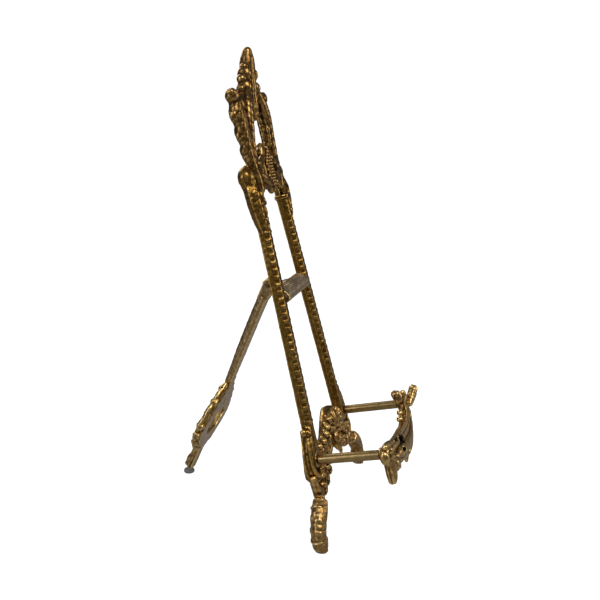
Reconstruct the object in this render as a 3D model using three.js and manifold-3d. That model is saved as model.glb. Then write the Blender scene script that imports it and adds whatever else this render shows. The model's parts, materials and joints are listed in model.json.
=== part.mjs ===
// A folding easel in antique cast brass that shows a photo album: a leaning front frame with an ornate
// crest, two ribbed uprights, a pierced base on two cabriole feet, a ledge of two rods closed by a front
// rail, and one rear leg that folds flat on a hinge behind the crossbar.
import * as THREE from 'three';
import { mergeVertices } from 'three/addons/utils/BufferGeometryUtils.js';
import Module from 'manifold-3d';

const wasm = await Module();
wasm.setup();

// Driving dimensions in millimetres, angles in degrees. In the front frame x runs across the stand,
// v runs up along the frame from the feet, and n stands out of its front; the rear leg has x, s down
// its length from the hinge, and m out of its front.
const frameLean = 15.4;
const standShift = -43.2; // puts the middle of the footprint over the origin
const joinGap = 0.3;
const flatness = 0.02; // facets closer to flat than this are joined

const uprightSpread = 36.8; // centre line of an upright at uprightDatum
const uprightDatum = 100;
const uprightTaper = 0.076; // the uprights close towards the crest by this much per millimetre
const uprightHalfWidth = 4.2;
const uprightBack = -1.5;
const uprightSide = 2.4;
const uprightFront = 6;
const uprightFootV = 52;
const uprightTopV = 260;
const rungPitch = 5.2;
const rungCount = 28;
const rungStartV = 83.5;
const rungHeight = 0.6;
const rungLength = 2.8;

const rodX = 44.2;
const rodV = 57.2;
const rodRadius = 3.35;
const rodBackN = 6.3;
const rodFrontN = 49.4;
const studRadius = 1.8;
const bossRadius = 5.4;
const earRadius = 5;
const earBack = -3.4;
const earFront = 1.2;

const screwRadius = 1.2;
const screwHeadRadius = 2.7;
const screwHeadHeight = 1.7;
const holeClearance = 0.4;

const crossbarV = 173.4;
const crossbarHalfHeight = 6;
const crossbarNose = 8;
const crossbarBack = -1.3;
const ribPitch = 4.5;
const ribCount = 11;
const ribHalfWidth = 0.7;
const spigotLength = 2.4;
const spigotRadius = 2.6;

const hingeV = 179.2;
const hingeN = -14.5;
const hingePinRadius = 1.4;
const lugHalfWidth = 1.7;
const lugRadius = 4;
const cheekRadius = 4.3;
const lugRoomRadius = 4.9;
const forkInner = 2;
const forkOuter = 4.3;
const pinHeadRadius = 2.5;
const pinHeadHeight = 1.1;

const legAngle = 22.7;
const legLength = 181;
const legHalfWidth = 4.7;
const legFront = 5;
const barFront = 3.8;
const legBack = -1.8;
const swellBack = 1.9;
const ridgeBack = -3.9; // the rounded back of the leg's bar
const toeFront = 3.6;
const padRadius = 4.6;
const padHeight = 2.2;

const footPinRadius = 0.8;
const tenonRadius = 2.2;
const tenonLength = 8;
const neckEnd = { x: 51, v: 30.4, n: 2.2 };
const neckSlant = 50; // the neck leaves the base this far outward of straight down
const shellV = 62;
const shellReach = 12.6;

const roundSides = 12;
const scrollSides = 6;
const holeSides = 8;
const toRadians = THREE.MathUtils.degToRad;

const brass = (color, roughness) => () =>
  new THREE.MeshStandardMaterial({ color, roughness, metalness: 1 });
const castBrass = brass(0x8a6a32, 0.42);
const rubbedBrass = brass(0xa8843c, 0.34);
const rodBrass = brass(0x8c7a45, 0.38);
const greyBrass = brass(0x8d8171, 0.4);
const darkBrass = brass(0x5a4526, 0.5);
const greyFelt = () => new THREE.MeshStandardMaterial({ color: 0x7c7c80, roughness: 0.9, metalness: 0 });

// ---- places and directions ----

const at = (x, v, n) => new THREE.Vector3(x, -n, v);
const frontward = new THREE.Vector3(0, -1, 0);
const uprightX = (v) => uprightSpread - uprightTaper * (v - uprightDatum);
const fromBar = ([x, v, ...rest]) => [x - uprightX(v), v, ...rest];

// ---- closed solids ----

// A closed geometry as a solid: shared vertices merged, collapsed faces left out, faces pointing out.
function solidOf(geometry) {
  const bare = geometry.index ? geometry.toNonIndexed() : geometry.clone();
  bare.deleteAttribute('normal');
  bare.deleteAttribute('uv');
  const merged = mergeVertices(bare, 1e-4);
  const corners = merged.index.array;
  const kept = [];
  for (let i = 0; i < corners.length; i += 3) {
    const [a, b, c] = corners.slice(i, i + 3);
    if (a !== b && b !== c && c !== a) kept.push(a, b, c);
  }
  const build = (triVerts) =>
    new wasm.Manifold(new wasm.Mesh({
      numProp: 3,
      vertProperties: merged.attributes.position.array,
      triVerts: new Uint32Array(triVerts),
    }));
  const solid = build(kept);
  return solid.volume() < 0 ? build(kept.reverse()) : solid;
}

const fuse = (geometries) => geometries.map(solidOf).reduce((whole, next) => whole.add(next));
const cut = (solid, geometries) => geometries.map(solidOf).reduce((left, tool) => left.subtract(tool), solid);

function mirrored(geometry) {
  return geometry.clone().scale(-1, 1, 1);
}

const bothSides = (geometries) => [...geometries, ...geometries.map(mirrored)];

function part(name, solid, material) {
  const data = solid.simplify(flatness).getMesh();
  const geometry = new THREE.BufferGeometry();
  geometry.setAttribute('position', new THREE.BufferAttribute(new Float32Array(data.vertProperties), 3));
  geometry.setIndex(new THREE.BufferAttribute(new Uint32Array(data.triVerts), 1));
  geometry.computeVertexNormals();
  const mesh = new THREE.Mesh(geometry, material());
  mesh.name = name;
  return mesh;
}

// ---- forms that castings are built from ----

// A scroll: rings of points round a smooth curve through the stations, pointed at both ends. A station
// is [x, v, n, half width in the frame's plane, half thickness]. back flattens the rear of the section.
function scroll(stations, steps, back = 1, sides = scrollSides) {
  const path = new THREE.CatmullRomCurve3(stations.map(([x, v, n]) => at(x, v, n)));
  const size = new THREE.CatmullRomCurve3(stations.map(([, , , w, h]) => new THREE.Vector3(w, h, 0)));
  const points = [];
  const faces = [];
  const ring = (i, k) => 1 + i * sides + (k % sides);
  const first = path.getPoint(0);
  points.push(first.addScaledVector(path.getTangent(0), -size.getPoint(0).x * 0.6));
  for (let i = 0; i <= steps; i++) {
    const centre = path.getPoint(i / steps);
    const along = path.getTangent(i / steps);
    const across = new THREE.Vector3().crossVectors(along, frontward).normalize();
    const out = new THREE.Vector3().crossVectors(across, along).normalize();
    const { x: width, y: height } = size.getPoint(i / steps);
    for (let k = 0; k < sides; k++) {
      const turn = (2 * Math.PI * k) / sides;
      const rise = Math.sin(turn) * height * (Math.sin(turn) < 0 ? back : 1);
      points.push(centre.clone()
        .addScaledVector(across, Math.cos(turn) * width)
        .addScaledVector(out, rise));
    }
  }
  const end = path.getPoint(1).addScaledVector(path.getTangent(1), size.getPoint(1).x * 0.6);
  const last = points.push(end) - 1;
  for (let k = 0; k < sides; k++) {
    faces.push(0, ring(0, k), ring(0, k + 1));
    faces.push(last, ring(steps, k + 1), ring(steps, k));
    for (let i = 0; i < steps; i++) {
      faces.push(ring(i, k), ring(i + 1, k), ring(i + 1, k + 1));
      faces.push(ring(i, k), ring(i + 1, k + 1), ring(i, k + 1));
    }
  }
  return new THREE.BufferGeometry().setFromPoints(points).setIndex(faces);
}

// A rounded lobe or bud with its own half sizes along x, v and n, turned in the frame's plane.
function lobe(x, v, n, halfX, halfV, halfN, turn = 0) {
  return new THREE.SphereGeometry(1, 6, 3)
    .scale(halfX, halfN, halfV)
    .rotateY(toRadians(turn))
    .translate(x, -n, v);
}

// A round bar along n, from backN to frontN.
function barAlongN(x, v, backN, frontN, radius, sides = holeSides) {
  return new THREE.CylinderGeometry(radius, radius, frontN - backN, sides)
    .translate(x, -(backN + frontN) / 2, v);
}

// A box between two corners given as x, v, n.
function block([x0, v0, n0], [x1, v1, n1]) {
  return new THREE.BoxGeometry(x1 - x0, n1 - n0, v1 - v0)
    .translate((x0 + x1) / 2, -(n0 + n1) / 2, (v0 + v1) / 2);
}

// An outline drawn as (-n, v), extruded across the stand from x0 to x1.
function extrudeAcross(shape, x0, x1, curveSegments = 6) {
  const turnUpright = new THREE.Matrix4().makeBasis(
    new THREE.Vector3(0, 1, 0), new THREE.Vector3(0, 0, 1), new THREE.Vector3(1, 0, 0));
  return new THREE.ExtrudeGeometry(shape, { depth: x1 - x0, bevelEnabled: false, curveSegments })
    .applyMatrix4(turnUpright)
    .translate(x0, 0, 0);
}

// An outline drawn as (x, v), extruded forward from backN to frontN.
function extrudeForward(shape, backN, frontN, curveSegments = 6) {
  return new THREE.ExtrudeGeometry(shape, { depth: frontN - backN, bevelEnabled: false, curveSegments })
    .rotateX(Math.PI / 2)
    .translate(0, -backN, 0);
}

// ---- fasteners ----

// A round-headed screw along n. Its head's flat side sits at seatN and its shank ends at tipN.
function screw(x, v, seatN, tipN) {
  const headward = Math.sign(seatN - tipN);
  const profile = [
    [0, tipN], [screwRadius, tipN], [screwRadius, seatN], [screwHeadRadius, seatN],
    [screwHeadRadius, seatN + headward * screwHeadHeight * 0.35],
    [screwHeadRadius * 0.6, seatN + headward * screwHeadHeight * 0.9],
    [0, seatN + headward * screwHeadHeight],
  ].map(([radius, n]) => new THREE.Vector2(radius, -n));
  return solidOf(new THREE.LatheGeometry(profile, 10).translate(x, 0, v));
}

const crestScrewV = 254;
const crestScrewX = uprightX(crestScrewV) - 0.6;
const lapN = 2.6;
const lapX = 29.4;
const lapStartV = 240.6;
const crestScrewTip = 5.4;
const crestScrewSeat = -3;

const hole = (x, v, backN, frontN, radius) => barAlongN(x, v, backN, frontN, radius + holeClearance);

// ---- crest ----

// One side of the crest: the lobed outer band, the inner rim that rolls forward, and the bridge that
// carries the pendant.
function crestHalf() {
  const band = scroll([
    [5, 312.4, 3.4, 3.4, 3.4], [15, 311.6, 3.8, 5.6, 4.4], [22.6, 306, 3.6, 8.8, 5], [23, 296, 3.4, 9, 4.8],
    [22.6, 285, 3.2, 8, 4.6], [21.8, 274, 3, 6.8, 4.4], [22.4, 264, 3.4, 5.2, 4], [22.8, 255, 5, 4.2, 3.4],
    [22.4, 246, 5, 4, 2.8],
  ], 9);
  const shoulder = lobe(29.8, 313, 3.6, 6.4, 4.8, 5, -25);
  const edgeLobes = [[30.4, 298.6, 4.2], [28.4, 285, 4], [26.2, 272, 4]]
    .map(([x, v, size]) => lobe(x, v, 1.9, size, size * 1.4, size, 15));
  const rim = scroll([
    [9, 303, 4.2, 3, 3], [15.6, 304.6, 5.6, 4.8, 3.2], [18, 297, 6.8, 4.6, 3.4], [17.6, 287, 6.6, 4.4, 3.4],
    [18.6, 277, 5.2, 3.8, 3.2],
  ], 5, 0.6);
  const bridge = scroll([
    [24, 267, 2.4, 3, 3.2], [16, 264.6, 2.8, 3.8, 3.8], [8, 269, 3, 3.6, 3.8], [3, 275.4, 3.4, 2.4, 3.4],
  ], 4);
  const lowerLeaf = scroll([
    [19, 257, 3.8, 3.4, 3], [12, 253, 4, 4.6, 3.8], [5, 249, 4.2, 3.8, 3.6],
  ], 3);
  const finialLobes = [
    lobe(11.6, 318, 4.8, 5.8, 4.2, 5, 15),
    lobe(8, 324.4, 7, 4.6, 3.8, 5, 20),
    lobe(5.2, 331.2, 9, 3.6, 3.2, 4),
  ];
  return [band, shoulder, ...edgeLobes, rim, bridge, lowerLeaf, ...finialLobes];
}

function crest() {
  const tip = scroll([
    [0, 302, 3, 4, 3], [0, 310, 3.8, 7, 4.8], [0, 320, 5.8, 6.8, 5.6], [0, 330, 8.1, 6, 5.6],
    [0, 338, 10, 5.2, 5.4], [0, 343.6, 12, 3, 3.6],
  ], 7, 1, 8);
  const apronLeaf = bothSides([lobe(7.8, 301.4, 2.8, 5.8, 7, 4, -25)]);
  const pendant = scroll([
    [0, 279, 3.6, 2.8, 2.8], [0, 269, 4, 6.8, 4.8], [0, 257, 4.4, 8.6, 5], [0, 243.6, 4.2, 2.2, 2.4],
  ], 5, 1, 8);
  const whole = fuse([...bothSides(crestHalf()), tip, ...apronLeaf, pendant]);
  const seats = [
    block([16, 230, -8], [45, 267, lapN + joinGap]),
    block([lapX - joinGap, 230, -8], [50, 267, 20]),
    hole(crestScrewX, crestScrewV, 0, crestScrewTip + joinGap, screwRadius),
  ];
  return cut(whole, bothSides(seats));
}

// ---- uprights ----

// The section of an upright seen from above: flat back, plain sides, rounded front.
function uprightSection(halfWidth, back, side, front) {
  const section = new THREE.Shape();
  section.moveTo(halfWidth, -back);
  section.lineTo(-halfWidth, -back);
  section.lineTo(-halfWidth, -side);
  section.absellipse(0, -side, halfWidth, front - side, Math.PI, 2 * Math.PI, false, 0);
  section.lineTo(halfWidth, -back);
  return section;
}

function uprightSlice(v0, v1, section, curveSegments) {
  return new THREE.ExtrudeGeometry(section, { depth: v1 - v0, bevelEnabled: false, curveSegments })
    .translate(0, 0, v0);
}

// The bar with its ladder of raised rungs, made ring by ring up its length.
function ladderBar() {
  const shoulderX = uprightHalfWidth * 0.56;
  const outline = (raised) => [
    [uprightHalfWidth, uprightBack], [uprightHalfWidth, uprightSide], [shoulderX, uprightFront + raised],
    [-shoulderX, uprightFront + raised], [-uprightHalfWidth, uprightSide], [-uprightHalfWidth, uprightBack],
  ];
  const rings = [[uprightFootV, 0]];
  for (let i = 0; i < rungCount; i++) {
    const middle = rungStartV + i * rungPitch;
    rings.push([middle - rungLength / 2, 0], [middle, rungHeight], [middle + rungLength / 2, 0]);
  }
  rings.push([uprightTopV, 0]);
  return loft(rings.map(([v, raised]) => outline(raised).map(([x, n]) => at(x, v, n))));
}

// A solid through rings of equally many points, closed flat at both ends.
function loft(rings) {
  const count = rings[0].length;
  const index = (i, k) => i * count + (k % count);
  const faces = [];
  for (let k = 0; k < count; k++) {
    for (let i = 0; i + 1 < rings.length; i++) {
      faces.push(index(i, k), index(i, k + 1), index(i + 1, k + 1));
      faces.push(index(i, k), index(i + 1, k + 1), index(i + 1, k));
    }
  }
  for (let k = 1; k + 1 < count; k++) {
    faces.push(index(0, 0), index(0, k + 1), index(0, k));
    faces.push(index(rings.length - 1, 0), index(rings.length - 1, k), index(rings.length - 1, k + 1));
  }
  return new THREE.BufferGeometry().setFromPoints(rings.flat()).setIndex(faces);
}

// The acanthus terminal at the top: a leaf that flares outward from the bar and ends in a full bulb.
function upperTerminal() {
  const leaf = scroll([
    [28, 219, 2, 4.2, 3.8], [30, 229, 1.8, 6, 5.2], [31.2, 238, 1.9, 7, 5.8], [31.2, 247, 1.4, 7.4, 5.6],
    [30.4, 254, 0.8, 6.4, 4.8],
  ].map(fromBar), 6);
  const bulb = scroll([
    [30.8, 248.4, 0.3, 5.4, 4.8], [31.2, 257, 0, 7, 6], [31.2, 263.4, 0, 4.6, 4.2],
  ].map(fromBar), 3, 1, 8);
  const collar = uprightSlice(237, 240, uprightSection(5, uprightBack - 0.8, uprightSide, 7.6), 4);
  return [leaf, bulb, collar];
}

// The lower terminal: a C-scroll rolling inward, its leaf bud, and the boss that takes the rod.
function lowerTerminal() {
  const cScroll = scroll([
    [40.6, 81, 2.2, 2.8, 3.2], [43.6, 74, 2, 3.8, 4.2], [47.2, 66.4, 1.6, 3.8, 4.6],
    [48.8, 56, 0.6, 3.8, 4.8], [47.6, 46.4, -0.6, 4, 5.1], [42, 41.8, -0.2, 3.8, 5], [37.6, 47, 1, 3, 4.4],
  ].map(fromBar), 9);
  const boss = barAlongN(rodX - uprightX(rodV), rodV, 0, rodBackN - joinGap, bossRadius, roundSides);
  const eye = lobe(38.4 - uprightX(48), 48.4, 2.2, 3.4, 3.4, 4.4);
  const bud = lobe(44.6 - uprightX(77), 77, 2, 2.8, 4.4, 3.8, 20);
  return [cScroll, bud, boss, eye];
}

function upright() {
  const slope = new THREE.Matrix4().set(
    1, 0, -uprightTaper, uprightX(0),
    0, 1, 0, 0,
    0, 0, 1, 0,
    0, 0, 0, 1);
  const along = [ladderBar(), ...upperTerminal(), ...lowerTerminal()]
    .map((geometry) => geometry.applyMatrix4(slope));
  const seats = [
    block([10, lapStartV, lapN], [lapX, 275, 20]),
    ...baseHalf(joinGap),
    hole(crestScrewX, crestScrewV, -8, 8, screwRadius),
    barAlongN(crestScrewX, crestScrewV, -12, crestScrewSeat, screwHeadRadius + joinGap, 10),
    hole(rodX, rodV, -8, 12, studRadius),
    barAlongN(rodX, rodV, rodBackN - joinGap, 14, rodRadius + joinGap, roundSides),
    spigot(joinGap),
  ];
  return cut(fuse(along), seats);
}

// The round spigot on the crossbar's end, or the socket for it when it is grown by the clearance.
function spigot(clearance) {
  const length = 2 * (spigotLength + clearance);
  return new THREE.CylinderGeometry(spigotRadius + clearance, spigotRadius + clearance, length, 10)
    .rotateZ(Math.PI / 2)
    .translate(uprightX(crossbarV) - uprightHalfWidth, -uprightSide, crossbarV);
}

// ---- crossbar ----

function crossbarHalfLength(v) {
  return uprightX(v) - uprightHalfWidth - joinGap;
}

// The half-round bar, its lug arched underneath, and the tapered shoulder that carries the lug.
function crossbar() {
  const low = crossbarV - crossbarHalfHeight;
  const high = crossbarV + crossbarHalfHeight;
  const section = new THREE.Shape();
  section.moveTo(-crossbarBack, low);
  section.lineTo(-crossbarBack, high);
  section.bezierCurveTo(-2.4, high, -6, high - 3, -crossbarNose, low + 4.6);
  section.lineTo(-crossbarNose, low + 2);
  section.bezierCurveTo(-6.4, low - 0.6, -2, low - 0.6, -crossbarBack, low);
  const ribSection = new THREE.Shape();
  ribSection.moveTo(0, high - 4);
  ribSection.lineTo(0.4, high + 0.4);
  ribSection.bezierCurveTo(-2.6, high + 0.5, -6, high - 2.4, -crossbarNose + 0.6, low + 5.4);
  ribSection.lineTo(-4, low + 4);
  const ribs = Array.from({ length: ribCount }, (_, i) => {
    const x = (i - (ribCount - 1) / 2) * ribPitch;
    return extrudeAcross(ribSection, x - ribHalfWidth, x + ribHalfWidth, 3);
  });
  const reach = crossbarHalfLength(low);
  const bar = cut(fuse([extrudeAcross(section, -reach, reach), ...ribs]), bothSides([endTrim()]));
  const whole = [...bothSides([spigot(0)]), hingeLug(), hingeHeel(), lugShoulder()].map(solidOf)
    .reduce((left, next) => left.add(next), bar);
  return cut(whole, [acrossX(hingePinRadius + joinGap, 20).translate(0, -hingeN, hingeV)]);
}

// A round bar lying across the stand, through the origin.
function acrossX(radius, length, sides = 10) {
  return new THREE.CylinderGeometry(radius, radius, length, sides).rotateZ(Math.PI / 2);
}

// What is cut off a bar's end so that it follows the slope of the upright's inner face.
function endTrim() {
  const trim = new THREE.Shape();
  const bottom = crossbarV - 20;
  const top = crossbarV + 20;
  trim.moveTo(crossbarHalfLength(bottom), bottom);
  trim.lineTo(60, bottom);
  trim.lineTo(60, top);
  trim.lineTo(crossbarHalfLength(top), top);
  return extrudeForward(trim, -12, 14);
}

// The tongue behind the bar that the leg's fork straddles, arched underneath.
function hingeLug() {
  const lug = new THREE.Shape();
  const back = -hingeN;
  const low = crossbarV - crossbarHalfHeight;
  lug.moveTo(0, crossbarV + 5.4);
  lug.lineTo(0, low + 0.4);
  lug.quadraticCurveTo(3.4, low + 3.8, 8, low + 4.8);
  lug.lineTo(back - lugRadius * 0.5, hingeV - lugRadius * 0.86);
  lug.absarc(back, hingeV, lugRadius, toRadians(-120), toRadians(100), false);
  lug.quadraticCurveTo(8, crossbarV + 7, 0, crossbarV + 5.4);
  return extrudeAcross(lug, -lugHalfWidth, lugHalfWidth, 8);
}

// The heel on the lug that the fork's bridge comes up against when the leg is open.
function hingeHeel() {
  const heel = new THREE.Shape();
  const opening = toRadians(frameLean + legAngle);
  const place = (down, behind) => [
    -hingeN + down * Math.sin(opening) + behind * Math.cos(opening),
    hingeV - down * Math.cos(opening) + behind * Math.sin(opening),
  ];
  const clear = -legBack + joinGap;
  heel.moveTo(...place(0, 1));
  heel.lineTo(...place(0, lugRadius));
  heel.lineTo(...place(5, lugRadius + 0.4));
  heel.lineTo(...place(9, clear + 1.6));
  heel.lineTo(...place(9, clear));
  heel.lineTo(...place(3, clear));
  return extrudeAcross(heel, -lugHalfWidth, lugHalfWidth);
}

const lugShoulder = () => lobe(0, crossbarV + 1.4, -1.4, 9.5, 6.4, 4.6);

function hingePin() {
  const half = forkOuter + joinGap;
  const profile = [
    [0, -half - pinHeadHeight], [pinHeadRadius * 0.7, -half - pinHeadHeight], [pinHeadRadius, -half],
    [hingePinRadius, -half], [hingePinRadius, half], [pinHeadRadius, half],
    [pinHeadRadius * 0.7, half + pinHeadHeight], [0, half + pinHeadHeight],
  ].map(([radius, x]) => new THREE.Vector2(radius, x));
  return solidOf(new THREE.LatheGeometry(profile, 10).rotateZ(-Math.PI / 2).translate(0, -hingeN, hingeV));
}

// ---- base ----

// One side of the base: the ear the rod's stud screws into, the arm from it down to the neck, and the
// scrolls that pierce and frame the middle; or the room for them when they are grown by the clearance.
function baseHalf(clearance) {
  const grow = (stations) => stations.map(([x, v, n, w, h]) => [x, v, n, w + clearance, h + clearance]);
  const ear = barAlongN(
    rodX, rodV, earBack - clearance, earFront + clearance, earRadius + clearance, roundSides);
  const arm = grow([
    [44.4, 54, -1.4, 4, 2], [45, 47.5, -1.6, 4, 2.2], [46, 41.4, -1, 4.4, 2.8], [47.4, 36.4, 0.8, 4.8, 3.8],
    [50, 31.6, 2.4, 4.6, 4.2], [52.4, 28.6, 2.8, 4.2, 4],
  ]);
  const upperScroll = grow([
    [39.6, 57, -2.6, 3, 1.8], [34, 58, -0.6, 4, 3.2], [27, 58.8, 2.4, 4.2, 4], [20, 61.4, 5, 4, 4.4],
    [15.2, 67, 5.6, 3.8, 4.6], [9, 72, 5.4, 3.6, 4.4], [2, 73.6, 5.2, 3.2, 4],
  ]);
  const arch = grow([
    [49, 34.6, 1.8, 4.4, 4], [40, 33.8, 2.2, 5, 4], [30.6, 36.6, 2.4, 5, 3.8], [21.6, 41.8, 2, 3.8, 3.6],
    [12, 45.6, 2.2, 3.2, 3.6], [5, 49, 2.6, 3, 3.6],
  ]);
  const flank = grow([
    [52.4, 48.6, 2, 2.4, 2.8], [53.4, 43, 2.6, 3, 3.2], [51, 37.4, 2.4, 3.4, 3.4], [46.6, 35, 2, 3.4, 3.6],
  ]);
  const inner = grow([[38.6, 36, 1.8, 4, 3.4], [34, 46, 2, 5, 3.8], [28, 58, 2.6, 4.6, 3.8]]);
  const volute = grow([[31, 49, 2, 4, 3.8], [22.6, 52, 2.8, 4.6, 4], [18, 62, 4.4, 4, 3.8]]);
  return [ear, scroll(arm, 6), scroll(upperScroll, 8), scroll(arch, 6), scroll(flank, 4), scroll(inner, 3),
    scroll(volute, 3), lobe(8.2, 72.6, 5.4, 4, 4, 2.8)];
}

// The scallop shell over the pendant leaf in the middle of the base.
function shell() {
  const ribs = [-1, 0, 1].map((i) => {
    const turn = toRadians(i * 27);
    const reach = shellReach - Math.abs(i) * 1.4;
    const along = (share) => [Math.sin(turn) * reach * share, shellV + Math.cos(turn) * reach * share];
    return scroll([[0, shellV, 5, 2.4, 3.2], [...along(0.6), 6.2, 3, 3], [...along(1), 5.6, 2.4, 2.6]], 2);
  });
  const field = lobe(0, shellV - 1, 3.6, 17, 13, 3.4);
  return [...ribs, field, lobe(0, shellV - 0.4, 4.8, 6.4, 6.8, 4.8)];
}

function base() {
  const pendant = scroll([
    [0, 57, 4.4, 4.6, 4], [0, 51, 6, 5, 4], [0, 46, 8, 4, 3.2], [0, 42.4, 9, 1.8, 1.8],
  ], 4);
  const whole = cut(fuse([...bothSides(baseHalf(0)), ...shell(), pendant]), bothSides([belowSeam()]));
  const tenons = bothSides([tenon(0)]).map(solidOf).reduce((left, next) => left.add(next), whole);
  return cut(tenons, bothSides([hole(rodX, rodV, -12, 12, studRadius), ...footPinHole()]));
}

// What is cut off a neck's end, square to it.
function belowSeam() {
  return new THREE.BoxGeometry(24, 30, 16)
    .translate(0, 0, -8)
    .rotateY(toRadians(-neckSlant))
    .translate(neckEnd.x, -neckEnd.n, neckEnd.v);
}

// The tenon under the neck, or the socket for it when it is grown by the clearance.
function tenon(clearance) {
  return new THREE.CylinderGeometry(
    tenonRadius + clearance, tenonRadius + clearance, 2 * (tenonLength + clearance), holeSides)
    .rotateX(Math.PI / 2)
    .rotateY(toRadians(-neckSlant))
    .translate(neckEnd.x, -neckEnd.n, neckEnd.v);
}

const footPinPlace = {
  x: neckEnd.x + Math.sin(toRadians(neckSlant)) * 5,
  v: neckEnd.v - Math.cos(toRadians(neckSlant)) * 5,
};
const footPinHole = () => [
  barAlongN(footPinPlace.x, footPinPlace.v, -10, 16, footPinRadius + joinGap, 6),
];
const footPinSolid = () => solidOf(barAlongN(footPinPlace.x, footPinPlace.v, -1.9, 6.4, footPinRadius, 6));

// ---- feet ----

// A cabriole foot with leaf bands round its knee and a toe curling in, cut level where it stands.
function foot() {
  const leg = scroll([
    [48, 33, 2.8, 5, 5], [53, 29, 3, 5.8, 5.8], [59.4, 24.4, 2.9, 6.2, 6.2], [65, 18, 2.1, 6, 5.8],
    [67.6, 10, 1.3, 5.2, 5.6], [67, 4, 0.7, 4.4, 5.2], [64, -1, 0.4, 3.4, 4.4],
  ], 7, 1, 8);
  const curl = lobe(61, 5.4, 0.6, 4, 4.6, 4.2);
  const bands = [
    lobe(56.4, 26.8, 2.6, 2.8, 7.2, 6.4, 50),
    lobe(62.2, 21.8, 2, 2.8, 7.2, 6.2, 35),
    lobe(66.6, 13, 1.2, 6.4, 2.6, 6, 10),
  ];
  const topCut = new THREE.BoxGeometry(40, 40, 20)
    .translate(0, 0, 10 - joinGap)
    .rotateY(toRadians(-neckSlant))
    .translate(neckEnd.x, -neckEnd.n, neckEnd.v);
  return cut(fuse([leg, curl, ...bands]), [topCut, tenon(joinGap), ...footPinHole(), ground()]);
}

// Everything below the surface the stand rests on, in the leaning frame's own axes.
function ground() {
  return new THREE.BoxGeometry(400, 400, 60)
    .translate(0, 0, -30)
    .rotateX(toRadians(frameLean));
}

// ---- ledge: rods and front rail ----

function rod() {
  const bar = barAlongN(rodX, rodV, rodBackN, rodFrontN, rodRadius, roundSides);
  const stud = barAlongN(rodX, rodV, earBack - 0.6, rodBackN + 2, studRadius);
  const bore = hole(rodX, rodV, rodFrontN - 8, rodFrontN + 1, screwRadius);
  return cut(fuse([bar, stud]), [bore]);
}

const railBack = rodFrontN + joinGap;
const railSeat = 57;
const railBossRadius = 4.9;

// The leaves that turn up at one end of the rail, and the ones that droop at the other.
function railLeaves() {
  const upturned = [
    scroll([[43, 57, 53, 3.8, 3.2], [41.8, 63, 50.6, 4.4, 3.6], [40.6, 68.4, 49.2, 4.2, 3.4]], 3),
    scroll([[46, 57, 55, 3.2, 3], [48, 62.4, 55.4, 3, 2.8], [49, 66, 55.6, 2, 2]], 2),
    scroll([
      [47, 55, 57, 3.6, 3.2], [53, 59.6, 59.2, 4.2, 3.4], [57.4, 64, 61, 4, 3.4],
      [58.4, 66.4, 61.4, 2.8, 2.4],
    ], 4),
  ];
  const drooping = [
    scroll([
      [-41, 55, 53.6, 4.6, 3.4], [-42.6, 47, 53.6, 5, 3.2], [-43.4, 40.6, 53.6, 4.8, 2.8],
      [-43.6, 36.4, 53.8, 4, 2.4],
    ], 4),
    scroll([[-38, 50, 56, 4.4, 3], [-32, 44, 56, 4.6, 2.8], [-29, 38.6, 55.6, 2.6, 2]], 3),
    scroll([[6, 38, 56.6, 4, 2.8], [3, 32.4, 56.4, 3.8, 2.4], [2, 28.4, 56, 2.4, 1.6]], 2),
  ];
  return [...upturned, ...drooping];
}

// The garland between the ends: an upper scroll, a lower festoon and a full cartouche between them.
function garland() {
  const upper = scroll([
    [-44, 57, 53.8, 3.6, 3.4], [-33, 57, 54.2, 3.4, 3.2], [-20, 54.2, 54.8, 3.4, 3.4],
    [-8, 52.6, 55.6, 3.4, 3.6], [6, 50.8, 55.6, 3.4, 3.6], [20, 48, 54.8, 3.4, 3.4], [33, 50, 54, 3.4, 3.4],
    [44, 57, 53.4, 3.8, 3.6],
  ], 9);
  const festoon = scroll([
    [-7, 37.6, 56.6, 2.6, 2.6], [2, 34.8, 56.9, 3, 3], [14, 36, 57.1, 3, 3], [30, 42, 56.8, 3, 3],
    [45, 52, 55.6, 3.4, 3.2],
  ], 6);
  const nearLink = scroll([
    [-46, 51, 54.8, 3.4, 3], [-34, 45.6, 55.8, 3.2, 3], [-20, 42.6, 56.4, 3, 3], [-6, 38.6, 57, 2.8, 2.8],
  ], 4);
  const cartouche = scroll([
    [-38, 51, 54.8, 4.4, 2.6], [-24, 48.4, 55.6, 6.2, 3], [-8, 45.6, 56.6, 7.2, 3.4], [8, 43.4, 57, 7, 3.4],
    [22, 44, 56.2, 6, 3.2], [36, 50, 55, 4, 3],
  ], 7);
  return [upper, festoon, nearLink, cartouche];
}

function frontRail() {
  const bosses = bothSides([barAlongN(rodX, rodV, railBack, railSeat, railBossRadius, roundSides)]);
  const whole = fuse([...garland(), ...railLeaves(), ...bosses]);
  const seats = bothSides([
    hole(rodX, rodV, railBack - 4, railSeat + 8, screwRadius),
    barAlongN(rodX, rodV, railSeat, railSeat + 12, screwHeadRadius + joinGap, 10),
    barAlongN(rodX, rodV, 20, railBack, railBossRadius + 1, roundSides),
  ]);
  return cut(whole, seats);
}

// ---- rear leg ----

// The leg's flat outline seen from the front: the bar, the leaf-shaped swell with its loop, and the toe.
function legOutline() {
  const left = [
    [legHalfWidth, 84], [5.6, 91], [10.4, 97], [15.4, 102], [19, 108], [22.8, 114.6], [26, 121.6],
    [26.6, 129.4], [23.2, 137], [16.6, 143], [10.4, 149], [5.8, 156], [4.6, 164], [4.8, 171],
    [3.8, 177], [1.6, 180],
  ].map(([x, s]) => new THREE.Vector2(-x, -s));
  const right = left.map((p) => new THREE.Vector2(-p.x, p.y)).reverse();
  const outline = new THREE.Shape();
  outline.moveTo(left[0].x, left[0].y);
  outline.splineThru(left.slice(1));
  outline.lineTo(right[0].x, right[0].y);
  outline.splineThru(right.slice(1));
  outline.holes.push(legLoop(), legSlot());
  return outline;
}

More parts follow.
